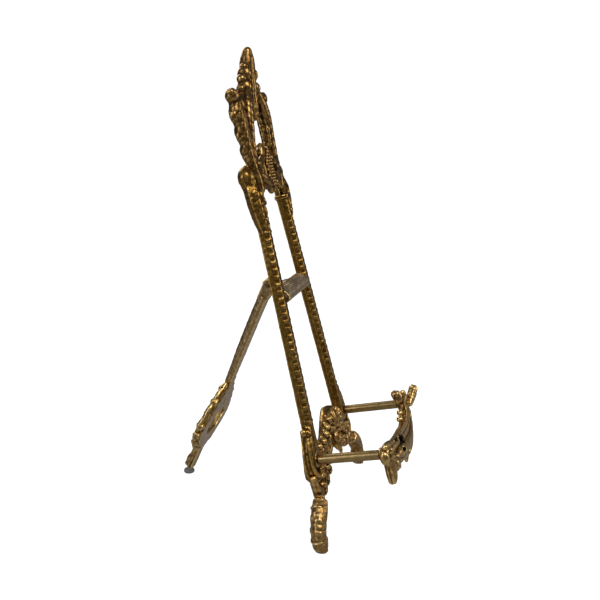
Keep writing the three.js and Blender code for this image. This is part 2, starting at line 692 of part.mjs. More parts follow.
const legLoop = () => new THREE.Path().absellipse(0, -126, 17.4, 11.8, 0, 2 * Math.PI, true);
const legSlot = () => new THREE.Path().absellipse(0, -105.6, 2.6, 4, 0, 2 * Math.PI, true);

// The bar between the fork and the swell: flat in front, rounded behind, and thinner towards the swell.
function legBar() {
  const slices = [
    [10.8, barFront, 0, ridgeBack], [24, barFront, 0.2, ridgeBack], [42, 4.1, 1, ridgeBack + 0.4],
    [58, 4.4, 1.4, -3], [74, 4.5, 1.8, -2], [90, 4.7, 2, -1.2],
  ];
  const half = ([s, front, side, back]) => [
    [legHalfWidth, s, front], [legHalfWidth, s, side], [legHalfWidth * 0.8, s, side + (back - side) * 0.6],
    [legHalfWidth * 0.36, s, back],
  ];
  return loft(slices.map((slice) => {
    const near = half(slice);
    const far = near.map(([x, s, m]) => [-x, s, m]).reverse();
    return [...near, ...far].map(([x, s, m]) => at(x, -s, m));
  }));
}

// The two cheeks that straddle the hinge lug.
function fork() {
  const cheek = new THREE.Shape();
  cheek.moveTo(-barFront, -14);
  cheek.lineTo(-barFront - 1.6, -6);
  cheek.absarc(0, 0, cheekRadius, toRadians(220), toRadians(-30), true);
  cheek.lineTo(-ridgeBack, -14);
  return [extrudeAcross(cheek, forkInner, forkOuter, 8), extrudeAcross(cheek, -forkOuter, -forkInner, 8)];
}

// A leafy border along each edge of the swell, with a lobe on each leaf and a knob below the loop.
function legLeaves() {
  const border = scroll([
    [6, -90, 1.8, 2, 2.4], [13.4, -98.6, 1.8, 2.6, 3], [19, -108.6, 1.6, 2.6, 3.2], [24.2, -118, 1, 2.4, 3.4],
    [24.8, -129, 0.8, 2.4, 3.4], [20.6, -138.4, 1.2, 2.4, 3.2], [13, -146, 1.8, 2.4, 2.8],
  ], 7);
  const lobes = [[8.6, 93], [16.4, 102], [21.4, 111.4], [26, 120.6], [25.6, 130.6], [21.4, 139.6]]
    .map(([x, s]) => lobe(x, -s, s > 115 ? 0.8 : 1.4, 2.6, 4.8, 4, s > 125 ? 30 : -30));
  const knob = lobe(10.6, -148.4, 1.4, 3.2, 3.6, 3.6);
  return bothSides([border, ...lobes, knob]);
}

function rearLeg() {
  const plate = extrudeForward(legOutline(), swellBack, legFront, 3);
  const spine = scroll([
    [0, -146, 1.6, 4.6, 2.8], [0, -158, 1, 4.4, 3.2], [0, -168, 0, 4.6, 4], [0, -176, -0.6, 4.6, 4.6],
  ], 5);
  const bridge = block([-forkOuter, -16, legBack], [forkOuter, -6.6, barFront]);
  const whole = fuse([plate, legBar(), ...legLeaves(), spine, bridge, ...fork()]);
  const pinHole = acrossX(hingePinRadius + joinGap, 20);
  const lugRoom = acrossX(lugRoomRadius, 2 * forkInner, 16);
  const toeFace = block([-20, -200, toeFront], [20, -150, 10]);
  const standing = new THREE.BoxGeometry(80, 80, 40)
    .translate(0, 0, -20)
    .rotateX(toRadians(-legAngle))
    .translate(0, 0, -legLength + (padHeight + joinGap) / Math.cos(toRadians(legAngle)));
  return cut(whole, [pinHole, lugRoom, toeFace, standing]);
}

function legPad() {
  const profile = [
    [0, 0], [padRadius - 0.5, 0], [padRadius, 0.6], [padRadius - 0.3, padHeight], [0, padHeight],
  ].map(([radius, z]) => new THREE.Vector2(radius, z));
  return solidOf(new THREE.LatheGeometry(profile, roundSides).rotateX(Math.PI / 2));
}

// ---- assembly ----

function mirrorPair(name, solid, material) {
  const right = part(name + '_right', solid, material);
  const left = part(name + '_left', solid, material);
  left.scale.x = -1;
  return [left, right];
}

function frontFrame() {
  const frame = new THREE.Group();
  frame.rotation.x = toRadians(-frameLean);
  const rodTip = rodFrontN - 7;
  frame.add(
    part('crest', crest(), castBrass),
    part('crossbar', crossbar(), greyBrass),
    part('hinge_pin', hingePin(), darkBrass),
    part('base', base(), castBrass),
    part('front_rail', frontRail(), castBrass),
    ...mirrorPair('upright', upright(), castBrass),
    ...mirrorPair('foot', foot(), rubbedBrass),
    ...mirrorPair('foot_pin', footPinSolid(), darkBrass),
    ...mirrorPair('rod', rod(), rodBrass),
    ...mirrorPair('rail_screw', screw(rodX, rodV, railSeat + joinGap, rodTip), rubbedBrass),
    ...mirrorPair('crest_screw',
      screw(crestScrewX, crestScrewV, crestScrewSeat - joinGap, crestScrewTip), darkBrass),
  );
  return frame;
}

function rearLegGroup() {
  const lean = toRadians(frameLean);
  const group = new THREE.Group();
  group.position.set(
    0,
    hingeV * Math.sin(lean) - hingeN * Math.cos(lean),
    hingeV * Math.cos(lean) + hingeN * Math.sin(lean));
  group.rotation.x = toRadians(legAngle);
  group.add(part('rear_leg', rearLeg(), greyBrass));
  return group;
}

const stand = new THREE.Group();
const leg = rearLegGroup();
const pad = part('rear_pad', legPad(), greyFelt);
pad.position.set(0, leg.position.y + legLength * Math.sin(toRadians(legAngle)) - 1, 0);
stand.add(frontFrame(), leg, pad);
stand.position.y = standShift;

const root = new THREE.Group();
root.add(stand);
export default root;
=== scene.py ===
import json
import math

import bpy
import numpy as np
from mathutils import Matrix, Vector


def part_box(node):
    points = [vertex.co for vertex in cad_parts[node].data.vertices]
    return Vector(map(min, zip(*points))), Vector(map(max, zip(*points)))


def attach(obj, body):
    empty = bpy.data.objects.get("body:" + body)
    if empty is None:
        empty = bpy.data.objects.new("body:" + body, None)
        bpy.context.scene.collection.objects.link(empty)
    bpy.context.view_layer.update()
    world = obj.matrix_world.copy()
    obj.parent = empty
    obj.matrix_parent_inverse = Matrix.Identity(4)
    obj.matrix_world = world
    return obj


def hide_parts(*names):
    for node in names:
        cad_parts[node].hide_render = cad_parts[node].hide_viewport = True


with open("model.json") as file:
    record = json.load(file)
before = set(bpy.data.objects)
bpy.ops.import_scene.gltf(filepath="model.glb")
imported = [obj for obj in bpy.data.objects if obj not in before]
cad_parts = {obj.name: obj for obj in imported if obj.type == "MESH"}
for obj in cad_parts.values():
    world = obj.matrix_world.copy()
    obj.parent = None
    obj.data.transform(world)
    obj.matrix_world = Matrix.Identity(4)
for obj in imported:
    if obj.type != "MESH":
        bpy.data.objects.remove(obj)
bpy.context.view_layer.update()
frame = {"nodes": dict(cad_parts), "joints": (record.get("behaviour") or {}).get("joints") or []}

# A folding easel for a photo album, in antique cast brass.
# Castings are worked in millimetres in their own leaning axes: x across, v up the slope, n out of its front.

print("stage: places")

hingeSpot = frame["joints"][0]["pos_m"]
frontPlace = {"lean": 15.4, "y": -43.2, "z": 0.0}
legPlace = {"lean": -22.7, "y": hingeSpot[1] * 1000, "z": hingeSpot[2] * 1000}
uprightLine = {"x": 36.8, "v": 100.0, "taper": 0.076}


def leanOf(place):
    lean = math.radians(place["lean"])
    return math.sin(lean), math.cos(lean)


def toWorld(points, place):
    sine, cosine = leanOf(place)
    x, v, n = points.T
    return np.stack([x, v * sine - n * cosine + place["y"], v * cosine + n * sine + place["z"]], 1) / 1000


def toPlace(points, place):
    sine, cosine = leanOf(place)
    x, y, z = (points * 1000).T
    y, z = y - place["y"], z - place["z"]
    return np.stack([x, y * sine + z * cosine, z * sine - y * cosine], 1)


def uprightX(v):
    return uprightLine["x"] - uprightLine["taper"] * (v - uprightLine["v"])


def addObject(name, data):
    item = bpy.data.objects.new(name, data)
    bpy.context.scene.collection.objects.link(item)
    return item


# What an object's mesh becomes under its modifiers.
def workedMesh(item):
    return bpy.data.meshes.new_from_object(item.evaluated_get(bpy.context.evaluated_depsgraph_get()))


# Short calls for placing and joining nodes. A value given to one is a number, a tuple or another's output.
class Tree:
    def __init__(self, tree):
        self.tree = tree

    def join(self, source, target):
        self.tree.links.new(source, target)

    def feed(self, values, sockets):
        for value, socket in zip(values, sockets):
            if isinstance(value, (int, float, tuple)):
                socket.default_value = value
            else:
                self.join(value, socket)

    def add(self, kind, **values):
        node = self.tree.nodes.new("ShaderNode" + kind)
        for key, value in values.items():
            if key in node.bl_rna.properties:
                setattr(node, key, value)
            else:
                self.feed([value], [node.inputs[key]])
        return node

    def texture(self, kind, **values):
        return self.add("Tex" + kind, Vector=self.add("TexCoord").outputs["Object"], **values)

    def mark(self, name):
        return self.add("Attribute", attribute_name=name).outputs["Fac"]

    def math(self, operation, a, b, clamp=False):
        node = self.add("Math", operation=operation, use_clamp=clamp)
        self.feed((a, b), node.inputs)
        return node.outputs[0]

    def mix(self, share, a, b):
        node = self.add("Mix", data_type="RGBA")
        self.feed((share, a, b), (node.inputs[0], node.inputs[6], node.inputs[7]))
        return node.outputs[2]

    def spread(self, value, low, high, toLow=0.0, toHigh=1.0):
        node = self.add("MapRange", interpolation_type="SMOOTHSTEP")
        self.feed((value, low, high, toLow, toHigh), node.inputs)
        return node.outputs["Result"]


def newMaterial(name):
    material = bpy.data.materials.new(name)
    material.use_nodes = True
    return material, Tree(material.node_tree), material.node_tree.nodes["Principled BSDF"]


print("stage: camera, floor and light")

cameraSet = {
    "spot": (-0.450245, -0.129911, 0.283097),
    "yaw": 0.34371,
    "pitch": 0.24612,
    "roll": 0.00684,
    "lens": 39.26,
    "sensor": 36,
    "shift": (0.0781, -0.0175),
    "sees": (0.01, 20),
}


def makeCamera(s):
    level, drop = math.cos(s["pitch"]), math.sin(s["pitch"])
    forward = Vector((level * math.cos(s["yaw"]), level * math.sin(s["yaw"]), -drop))
    right = forward.cross(Vector((0, 0, 1))).normalized()
    up = right.cross(forward)
    keep, tip = math.cos(s["roll"]), math.sin(s["roll"])
    across, above = keep * right + tip * up, keep * up - tip * right
    data = bpy.data.cameras.new("viewCamera")
    data.lens = s["lens"]
    data.sensor_width = s["sensor"]
    data.shift_x, data.shift_y = s["shift"]
    data.clip_start, data.clip_end = s["sees"]
    camera = addObject("viewCamera", data)
    turn = Matrix((across, above, -forward)).transposed().to_4x4()
    camera.matrix_world = Matrix.Translation(s["spot"]) @ turn
    bpy.context.scene.camera = camera


floorSet = {"half": 4.0, "color": (0.47, 0.47, 0.465, 1), "roughness": 0.9, "lift": 0.95}


# A pale sheet, lifted a little where it is seen directly so that it stays clean and even.
def makeFloor(s):
    h = s["half"]
    mesh = bpy.data.meshes.new("paleFloor")
    mesh.from_pydata([(-h, -h, 0), (h, -h, 0), (h, h, 0), (-h, h, 0)], [], [(0, 1, 2, 3)])
    floor = addObject("paleFloor", mesh)
    material, t, shader = newMaterial("paleFloor")
    shader.inputs["Base Color"].default_value = s["color"]
    shader.inputs["Roughness"].default_value = s["roughness"]
    shader.inputs["Emission Color"].default_value = (1, 1, 1, 1)
    seen = t.add("LightPath").outputs["Is Camera Ray"]
    t.join(t.math("MULTIPLY", seen, s["lift"]), shader.inputs["Emission Strength"])
    mesh.materials.append(material)


# Each lamp is (where it hangs, what it points at, width, height, watts, colour).
lampSet = {
    "key": ((-0.75, -0.55, 1.15), (0, 0, 0.15), 0.7, 0.7, 6.8, (1.0, 0.98, 0.95)),
    "side": ((-0.9, 0.65, 0.55), (0, 0, 0.15), 0.4, 0.9, 2.8, (0.90, 0.95, 1.0)),
    "front": ((0.5, -1.1, 0.6), (0, 0, 0.15), 0.7, 0.7, 3.0, (1.0, 0.97, 0.93)),
    "back": ((0.6, 0.9, 0.9), (0, 0, 0.15), 0.7, 0.7, 3.8, (1.0, 0.99, 0.97)),
}


def makeLamps(lamps):
    for name, (spot, target, width, height, watts, color) in lamps.items():
        data = bpy.data.lights.new(name + "Lamp", "AREA")
        data.shape = "RECTANGLE"
        data.size, data.size_y = width, height
        data.energy = watts
        data.color = color
        lamp = addObject(name + "Lamp", data)
        lamp.location = spot
        lamp.rotation_euler = (Vector(target) - Vector(spot)).to_track_quat("-Z", "Y").to_euler()


roomSet = {"seen": 1.03, "low": (0.06, 0.059, 0.058, 1), "high": (0.17, 0.172, 0.18, 1)}


# A white room to look at, which lights the metal softly from above and leaves its lower tones dark.
def makeRoom(s):
    world = bpy.data.worlds.new("paleRoom")
    bpy.context.scene.world = world
    world.use_nodes = True
    t, nodes = Tree(world.node_tree), world.node_tree.nodes
    split = t.add("SeparateXYZ", Vector=t.add("TexCoord").outputs["Generated"])
    ramp = t.add("ValToRGB", Fac=split.outputs["Z"])
    ramp.color_ramp.elements[0].color = s["low"]
    ramp.color_ramp.elements[1].color = s["high"]
    t.join(ramp.outputs["Color"], nodes["Background"].inputs["Color"])
    white = t.add("Background", Color=(1, 1, 1, 1), Strength=s["seen"])
    mix = t.add("MixShader", Fac=t.add("LightPath").outputs["Is Camera Ray"])
    t.feed((nodes["Background"].outputs[0], white.outputs[0]), mix.inputs[1:])
    t.join(mix.outputs[0], nodes["World Output"].inputs["Surface"])


makeCamera(cameraSet)
makeFloor(floorSet)
makeLamps(lampSet)
makeRoom(roomSet)
bpy.context.scene.view_settings.view_transform = "Standard"

print("stage: finishes")


def newGroup(name, inputs, outputs):
    tree = bpy.data.node_groups.new(name, "ShaderNodeTree")
    for label, value in inputs.items():
        socket = tree.interface.new_socket(label, in_out="INPUT", socket_type="NodeSocketFloat")
        socket.default_value = value
    for label in outputs:
        tree.interface.new_socket(label, in_out="OUTPUT", socket_type="NodeSocketFloat")
    return tree, Tree(tree), tree.nodes.new("NodeGroupInput"), tree.nodes.new("NodeGroupOutput")


wearSet = {"waver": 0.9, "speck": 0.5, "broad": 0.6, "worn": (0.12, 0.92), "grime": (0.02, 0.62)}


# Where hands and polish reach, with a painted highlight on the raised parts, and where dirt and oxide stay,
# with painted shade in the hollows, from each casting's own relief.
def makeWearGroup(s):
    tree, t, given, out = newGroup(
        "wearAndGrime", {"Reach": 1.0, "Blotch Size": 260.0}, ["Worn", "Grime", "Blotch"])
    blotch = t.texture("Noise", Scale=given.outputs["Blotch Size"], Detail=5.0, Roughness=0.62).outputs["Fac"]
    fine = t.texture("Noise", Scale=1900.0, Detail=3.0, Roughness=0.6).outputs["Fac"]
    waver = t.math("MULTIPLY", t.math("SUBTRACT", blotch, 0.5), s["waver"])
    speck = t.math("MULTIPLY", t.math("SUBTRACT", fine, 0.5), s["speck"])
    both = t.math("ADD", t.mark("relief"), t.math("MULTIPLY", t.mark("broadRelief"), s["broad"]))
    raised = t.math("ADD", t.math("MULTIPLY", both, given.outputs["Reach"]), t.math("ADD", waver, speck))
    # The first output is real wear on raised parts together with a painted highlight there.
    t.join(t.spread(raised, *s["worn"]), out.inputs["Worn"])
    # The second output darkens the hollows: oxide there together with painted shade.
    t.join(t.spread(t.math("MULTIPLY", raised, -1.0), *s["grime"]), out.inputs["Grime"])
    t.join(blotch, out.inputs["Blotch"])
    return tree


skinSet = {"grain": 0.35, "pit": (0.12, 0.34), "few": (0.5, 0.62)}


# The skin of a sand casting: soft lumps, fine grain and a few pits.
def makeCastGroup(s):
    tree, t, given, out = newGroup("castSkin", {"Grain Size": 2600.0, "Pits": 0.5}, ["Height", "Pit"])
    grain = t.texture("Noise", Scale=given.outputs["Grain Size"], Detail=4.0, Roughness=0.65).outputs["Fac"]
    lumps = t.texture("Noise", Scale=620.0, Detail=2.0).outputs["Fac"]
    pit = t.spread(t.texture("Voronoi", Scale=900.0).outputs["Distance"], *s["pit"], 1.0, 0.0)
    pits = t.math("MULTIPLY", t.math("MULTIPLY", pit, t.spread(lumps, *s["few"])), given.outputs["Pits"])
    swell = t.math("ADD", t.math("MULTIPLY", grain, s["grain"]), lumps)
    t.join(t.math("SUBTRACT", swell, pits), out.inputs["Height"])
    t.join(pits, out.inputs["Pit"])
    return tree


wearGroup = makeWearGroup(wearSet)
castGroup = makeCastGroup(skinSet)


# A metal in four tones: its body, a second tone in blotches, rubbed edges that carry a painted highlight, and
# hollows darkened by oxide and by painted shade.
# Some castings also carry marks, for a front painted paler as a painted reflection, a gilt border or painted
# shade in deep pits.
def makeBrass(name, s):
    material, t, shader = newMaterial(name)
    shader.inputs["Metallic"].default_value = 1.0
    wear = t.add("Group", node_tree=wearGroup, **{"Reach": s["reach"], "Blotch Size": s["blotch"]}).outputs
    skin = t.add("Group", node_tree=castGroup, **{"Grain Size": s["grain"], "Pits": s["pits"]}).outputs
    tone = t.mix(t.spread(wear["Blotch"], *s["patchy"]), s["body"], s["second"])
    # The first mark paints faces turned toward the front paler, a painted reflection; the gilt mark is a real
    # border tone.
    for mark in ("pale", "gilt"):
        if mark in s:
            tone = t.mix(t.mark(mark), tone, s[mark])
    # Raised parts take the rubbed colour, which is wear and also a painted highlight.
    worn = t.mix(wear["Worn"], tone, s["worn"])
    # Hollows take the dark colour, oxide together with painted shade.
    grimy = t.mix(t.math("MULTIPLY", wear["Grime"], s["grime"]), worn, s["dark"])
    pitted = t.mix(t.math("MULTIPLY", skin["Pit"], s["pitDark"]), grimy, s["dark"])
    # Deep pits are painted near black, a painted shade.
    t.join(t.mix(t.mark("dirt"), pitted, s["dirt"]), shader.inputs["Base Color"])
    patch = t.math("MULTIPLY", t.math("SUBTRACT", wear["Blotch"], 0.5), s["patchRough"])
    rough = t.math("ADD", t.math("MULTIPLY", wear["Grime"], s["dullBy"]), s["rough"])
    shine = t.math("MULTIPLY", wear["Worn"], s["shineBy"])
    t.join(t.math("SUBTRACT", t.math("ADD", rough, patch), shine, clamp=True), shader.inputs["Roughness"])
    bump = t.add("Bump", Strength=s["bump"], Distance=s["bumpDepth"], Height=skin["Height"])
    t.join(bump.outputs["Normal"], shader.inputs["Normal"])
    return material


castFinish = {
    # The rubbed colour is wear together with a painted highlight.
    "body": (0.22, 0.112, 0.033, 1), "second": (0.285, 0.16, 0.052, 1), "worn": (0.74, 0.45, 0.155, 1),
    # The dark colour is oxide together with painted shade in hollows and pits; the near-black one after it is
    # painted shade for deep pits.
    "dark": (0.03, 0.014, 0.006, 1), "dirt": (0.006, 0.005, 0.004, 1), "grime": 0.9, "pitDark": 0.6,
    "rough": 0.34, "dullBy": 0.22, "shineBy": 0.08, "patchy": (0.42, 0.62), "patchRough": 0.22, "reach": 1.0,
    "blotch": 300.0, "grain": 2600.0, "pits": 0.38, "bump": 0.16, "bumpDepth": 0.0003,
}


def brassLike(name, **changes):
    return makeBrass(name, {**castFinish, **changes})


feltSet = {
    "low": (0.10, 0.10, 0.11, 1), "high": (0.26, 0.26, 0.28, 1), "tones": (0.35, 0.65),
    "rough": (0.3, 0.7, 0.82, 1.0), "sheen": 0.4, "bump": 0.6, "bumpDepth": 0.0002,
}


def makeFelt(s):
    material, t, shader = newMaterial("pressedFelt")
    fibres = t.texture("Noise", Scale=5200.0, Detail=6.0, Roughness=0.75, Distortion=1.5).outputs["Fac"]
    t.join(t.mix(t.spread(fibres, *s["tones"]), s["low"], s["high"]), shader.inputs["Base Color"])
    t.join(t.spread(fibres, *s["rough"]), shader.inputs["Roughness"])
    shader.inputs["Sheen Weight"].default_value = s["sheen"]
    bump = t.add("Bump", Strength=s["bump"], Distance=s["bumpDepth"], Height=fibres)
    t.join(bump.outputs["Normal"], shader.inputs["Normal"])
    return material


finishes = {
    "rubbed_brass": brassLike("rubbedBrass", body=(0.42, 0.26, 0.10, 1), reach=1.2),
    "olive": brassLike(
        "oliveCastBrass", body=(0.195, 0.098, 0.017, 1), second=(0.255, 0.143, 0.03, 1),
        worn=(0.68, 0.42, 0.13, 1), grime=0.6),
    "deep": brassLike(
        "deepCastBrass", body=(0.165, 0.084, 0.024, 1), second=(0.22, 0.124, 0.038, 1),
        worn=(0.58, 0.35, 0.115, 1)),
    "warm": brassLike(
        "warmCastBrass", body=(0.285, 0.15, 0.043, 1), second=(0.375, 0.215, 0.07, 1),
        worn=(0.92, 0.59, 0.205, 1)),
    "gilt": brassLike(
        "giltCastBrass", body=(0.39, 0.22, 0.072, 1), second=(0.49, 0.30, 0.11, 1),
        worn=(1.0, 0.72, 0.30, 1), grime=0.8),
    # Its paler colour is a painted reflection on faces turned toward the front.
    "grey_brass": brassLike(
        "greyedBrass", body=(0.33, 0.20, 0.09, 1), second=(0.42, 0.28, 0.15, 1), pale=(0.62, 0.49, 0.36, 1),
        gilt=(0.44, 0.27, 0.07, 1), worn=(0.88, 0.62, 0.26, 1), bump=0.2, rough=0.36),
    "rod_brass": brassLike(
        "drawnRodBrass", body=(0.43, 0.29, 0.115, 1), second=(0.49, 0.335, 0.14, 1),
        worn=(0.60, 0.43, 0.20, 1), grime=0.5, pits=0.15, bump=0.12),
    "dark_brass": brassLike(
        "darkScrewBrass", body=(0.15, 0.09, 0.038, 1), second=(0.19, 0.12, 0.055, 1),
        worn=(0.5, 0.34, 0.15, 1)),
    "grey_felt": makeFelt(feltSet),
}


def readArray(items, label, width, kind):
    values = np.empty(len(items) * width, kind)
    items.foreach_get(label, values)
    return values.reshape(-1, width)


def getPoints(mesh):
    return readArray(mesh.vertices, "co", 3, np.float32).astype(float)


def setPoints(mesh, points):
    mesh.vertices.foreach_set("co", np.asarray(points, np.float32).ravel())
    mesh.update()


def getNormals(mesh):
    return readArray(mesh.vertex_normals, "vector", 3, np.float32).astype(float)


# Gives a function that turns values at a mesh's points into the means of their neighbours' values.
def neighbourMean(mesh):
    edges, count = readArray(mesh.edges, "vertices", 2, np.int32), len(mesh.vertices)
    degree = np.maximum(np.bincount(edges.ravel(), minlength=count), 1)[:, None]

    def mean(values):
        total = np.empty_like(values)
        for k in range(values.shape[1]):
            total[:, k] = (np.bincount(edges[:, 0], values[edges[:, 1], k], count)
                           + np.bincount(edges[:, 1], values[edges[:, 0], k], count))
        return total / degree

    return mean


# Rounds facets off without letting the form shrink.
def relax(mesh, rounds, pull=0.5, push=0.52):
    points, mean = getPoints(mesh), neighbourMean(mesh)
    for _ in range(rounds):
        points += pull * (mean(points) - points)
        points -= push * (mean(points) - points)
    setPoints(mesh, points)


# Plain smoothing, which rounds off the flats of a coarse solid and draws it in a little.
def melt(mesh, rounds, pull=0.6):
    points, mean = getPoints(mesh), neighbourMean(mesh)
    for _ in range(rounds):
        points += pull * (mean(points) - points)
    setPoints(mesh, points)


# One closed skin over overlapping closed shapes.
def skinOver(shapes, size, name):
    points, faces, start = [], [], 0
    for shapePoints, shapeFaces in shapes:
        points.append(np.asarray(shapePoints, float))
        faces += [[i + start for i in face] for face in shapeFaces]
        start += len(shapePoints)
    mesh = bpy.data.meshes.new(name)
    mesh.from_pydata(np.concatenate(points).tolist(), [], faces)
    worker = addObject(name + "Work", mesh)
    skin = worker.modifiers.new("skin", "REMESH")
    skin.mode = "VOXEL"
    skin.voxel_size = size
    done = workedMesh(worker)
    bpy.data.objects.remove(worker)
    bpy.data.meshes.remove(mesh)
    return done


def shapeOfMesh(mesh):
    return getPoints(mesh), [list(p.vertices) for p in mesh.polygons]


# A node's solid in a casting's own axes, with its loose triangles joined where their corners meet.
def shapeOfNode(name, place, grid=1e7):
    mesh = frame["nodes"][name].data
    world = getPoints(mesh)
    keys = {}
    order = np.empty(len(world), int)
    for i, key in enumerate(map(tuple, np.round(world * grid).astype(np.int64))):
        order[i] = keys.setdefault(key, len(keys))
    points = np.empty((len(keys), 3))
    points[order] = world
    faces = [[int(order[v]) for v in p.vertices] for p in mesh.polygons]
    return toPlace(points, place), [f for f in faces if len(set(f)) == len(f)]


# All ornament is given in a casting's own axes. A ball has a centre, three half sizes and a turn.
def ball(x, v, n, halfX, halfV, halfN, turn=0.0, around=20, down=12):
    points = [(0.0, 1.0, 0.0)]
    for j in range(1, down):
        a = math.pi * j / down
        for k in range(around):
            b = 2 * math.pi * k / around
            points.append((math.sin(a) * math.cos(b), math.cos(a), math.sin(a) * math.sin(b)))
    points.append((0.0, -1.0, 0.0))
    faces = []
    for k in range(around):
        k1 = (k + 1) % around
        faces.append([0, 1 + k1, 1 + k])
        for j in range(down - 2):
            a, b = 1 + j * around, 1 + (j + 1) * around
            faces.append([a + k, a + k1, b + k1, b + k])
        last = 1 + (down - 2) * around
        faces.append([len(points) - 1, last + k, last + k1])
    p = np.array(points) * (halfX, halfV, halfN)
    sine, cosine = math.sin(math.radians(turn)), math.cos(math.radians(turn))
    spun = np.stack([p[:, 0] * cosine + p[:, 1] * sine, p[:, 1] * cosine - p[:, 0] * sine, p[:, 2]], 1)
    return spun + (x, v, n), faces


def balls(rows, around=20, down=12):
    return [ball(*row, around=around, down=down) for row in rows]


# A smooth curve through every station.
def smoothCurve(stations, count):
    s = np.asarray(stations, float)
    ends = np.concatenate([[2 * s[0] - s[1]], s, [2 * s[-1] - s[-2]]])
    out = []
    for u in np.linspace(0, len(s) - 1, count):
        i = min(int(u), len(s) - 2)
        f = u - i
        a, b, c, d = ends[i:i + 4]
        out.append(0.5 * (2 * b + (c - a) * f + (2 * a - 5 * b + 4 * c - d) * f ** 2
                          + (3 * b - a - 3 * c + d) * f ** 3))
    return np.array(out)


# Unit steps along a path, and across it in the face whose outward way is given.
def pathFrame(centre, out=(0, 0, 1.0)):
    along = np.gradient(centre, axis=0)
    along /= np.linalg.norm(along, axis=1)[:, None]
    across = np.cross(along, out)
    across /= np.maximum(np.linalg.norm(across, axis=1), 1e-6)[:, None]
    return along, across


def travelOf(centre):
    return np.concatenate([[0], np.cumsum(np.linalg.norm(np.diff(centre, axis=0), axis=1))])


# The faces of a closed tube over rings of points that follow one another.
def tubeFaces(rings, around):
    faces = []
    for r in range(rings - 1):
        for k in range(around):
            k1 = (k + 1) % around
            faces.append([r * around + k, r * around + k1, (r + 1) * around + k1, (r + 1) * around + k])
    faces.append(list(reversed(range(around))))
    faces.append([(rings - 1) * around + k for k in range(around)])
    return faces


# The rings of a curl's round end: how far past the end each one is, and its size, in half widths.
roundEnd = [(0.9, 0.3), (0.7, 0.65), (0.35, 0.9)]


# A tapering round-ended curl through stations of x, v, n, half width, half thickness.
def curl(stations, steps=28, around=16, thinnest=0.15):
    path = smoothCurve(stations, steps + 1)
    centre, half = path[:, :3], np.maximum(path[:, 3:5], thinnest)
    along, across = pathFrame(centre)
    out = np.cross(across, along)
    turn = np.linspace(0, 2 * math.pi, around, endpoint=False)
    rings = [(0, -reach * half[0, 0], size) for reach, size in roundEnd]
    rings += [(i, 0.0, 1.0) for i in range(steps + 1)]
    rings += [(steps, reach * half[-1, 0], size) for reach, size in reversed(roundEnd)]
    points = []
    for i, offset, size in rings:
        middle = centre[i] + along[i] * offset
        for a in turn:
            points.append(middle + across[i] * math.cos(a) * half[i, 0] * size
                          + out[i] * math.sin(a) * half[i, 1] * size)
    return np.array(points), tubeFaces(len(rings), around)


lobeSet = {"samples": 61, "first": 0.3, "size": 0.62, "plump": 0.8, "lean": 0.5, "rise": 0.12}


# A leaf of overlapping lobes on both sides of a midrib, along stations of x, v, n, half width.
def leafOf(line, count):
    s = lobeSet
    path = smoothCurve(line, s["samples"])
    centre, half = path[:, :3], path[:, 3]
    travelled = travelOf(centre)
    along, across = pathFrame(centre)
    pitch = travelled[-1] / count
    shapes = []
    for k in range(count):
        i = int(np.searchsorted(travelled, (k + s["first"]) * pitch))
        w = half[i]
        for side in (-1, 1):
            size = pitch * s["size"] * s["plump"] * (0.9 + 0.2 * ((k * 7 + side) % 3) / 2)
            root = centre[i] + across[i] * side * w * 0.08
            tip = centre[i] + across[i] * side * (w - size * 0.5) + along[i] * w * s["lean"]
            middle = (root + tip) / 2 + (0, 0, s["rise"] * w)
            tip = tip - (0, 0, s["rise"] * w * 0.8)
            shapes.append(curl([(*root, size * 0.6, size * 0.5), (*middle, size, size * 0.75),
                                (*tip, size * 0.85, size * 0.7)], 8, 10))
    return shapes


def mirrorShape(shape):
    points, faces = shape
    return points * (-1, 1, 1), [list(reversed(f)) for f in faces]


def bothSides(shapes):
    return shapes + [mirrorShape(s) for s in shapes]


# A box of room, or one with a depth after it, and its mirror image.
def bothRooms(low, high, *depth):
    (x0, v0, n0), (x1, v1, n1) = low, high
    return [(low, high, *depth), ((-x1, v0, n0), (-x0, v1, n1), *depth)]


def fade(value, low, high):
    t = np.clip((value - low) / (high - low), 0, 1)
    return t * t * (3 - 2 * t)


def fadeOut(value, low, high):
    return fade(-value, -high, -low)


# Relief is chased in along guide lines, with stations of x, v, n, half width. For each point this gives how
# far along the line it is and its offsets across and from it in half widths, and then the line's length.
def alongGuide(points, guide, out, batch=20000):
    line = smoothCurve(guide, max(12, 8 * len(guide)))
    centre, half = line[:, :3], line[:, 3]
    travelled = travelOf(centre)
    along, across = pathFrame(centre, out)
    nearest = np.empty(len(points), int)
    for i in range(0, len(points), batch):
        away = ((points[i:i + batch, None, :] - centre[None]) ** 2).sum(2)
        nearest[i:i + batch] = away.argmin(1)
    off = points - centre[nearest]
    ahead = (off * along[nearest]).sum(1)
    side = (off * across[nearest]).sum(1) / half[nearest]
    gap = np.sqrt(np.maximum((off ** 2).sum(1) - ahead ** 2, 0)) / half[nearest]
    return travelled[nearest] + ahead, side, gap, travelled[-1]


# Ribs that slant away from a midrib, as a height from about -1 to 1.
def leafPattern(u, side, pitch, slant):
    ribs = np.abs(np.sin(math.pi * (u / pitch - np.abs(side) * slant))) ** 0.55 - 0.72
    midrib = np.exp(-(side / 0.14) ** 2)
    return ribs * fade(np.abs(side), 0.04, 0.25) - 0.55 * midrib


# Rounded rings about the line.
def ringPattern(u, side, pitch, slant):
    return np.abs(np.sin(math.pi * (u / pitch))) ** 0.7 - 0.64


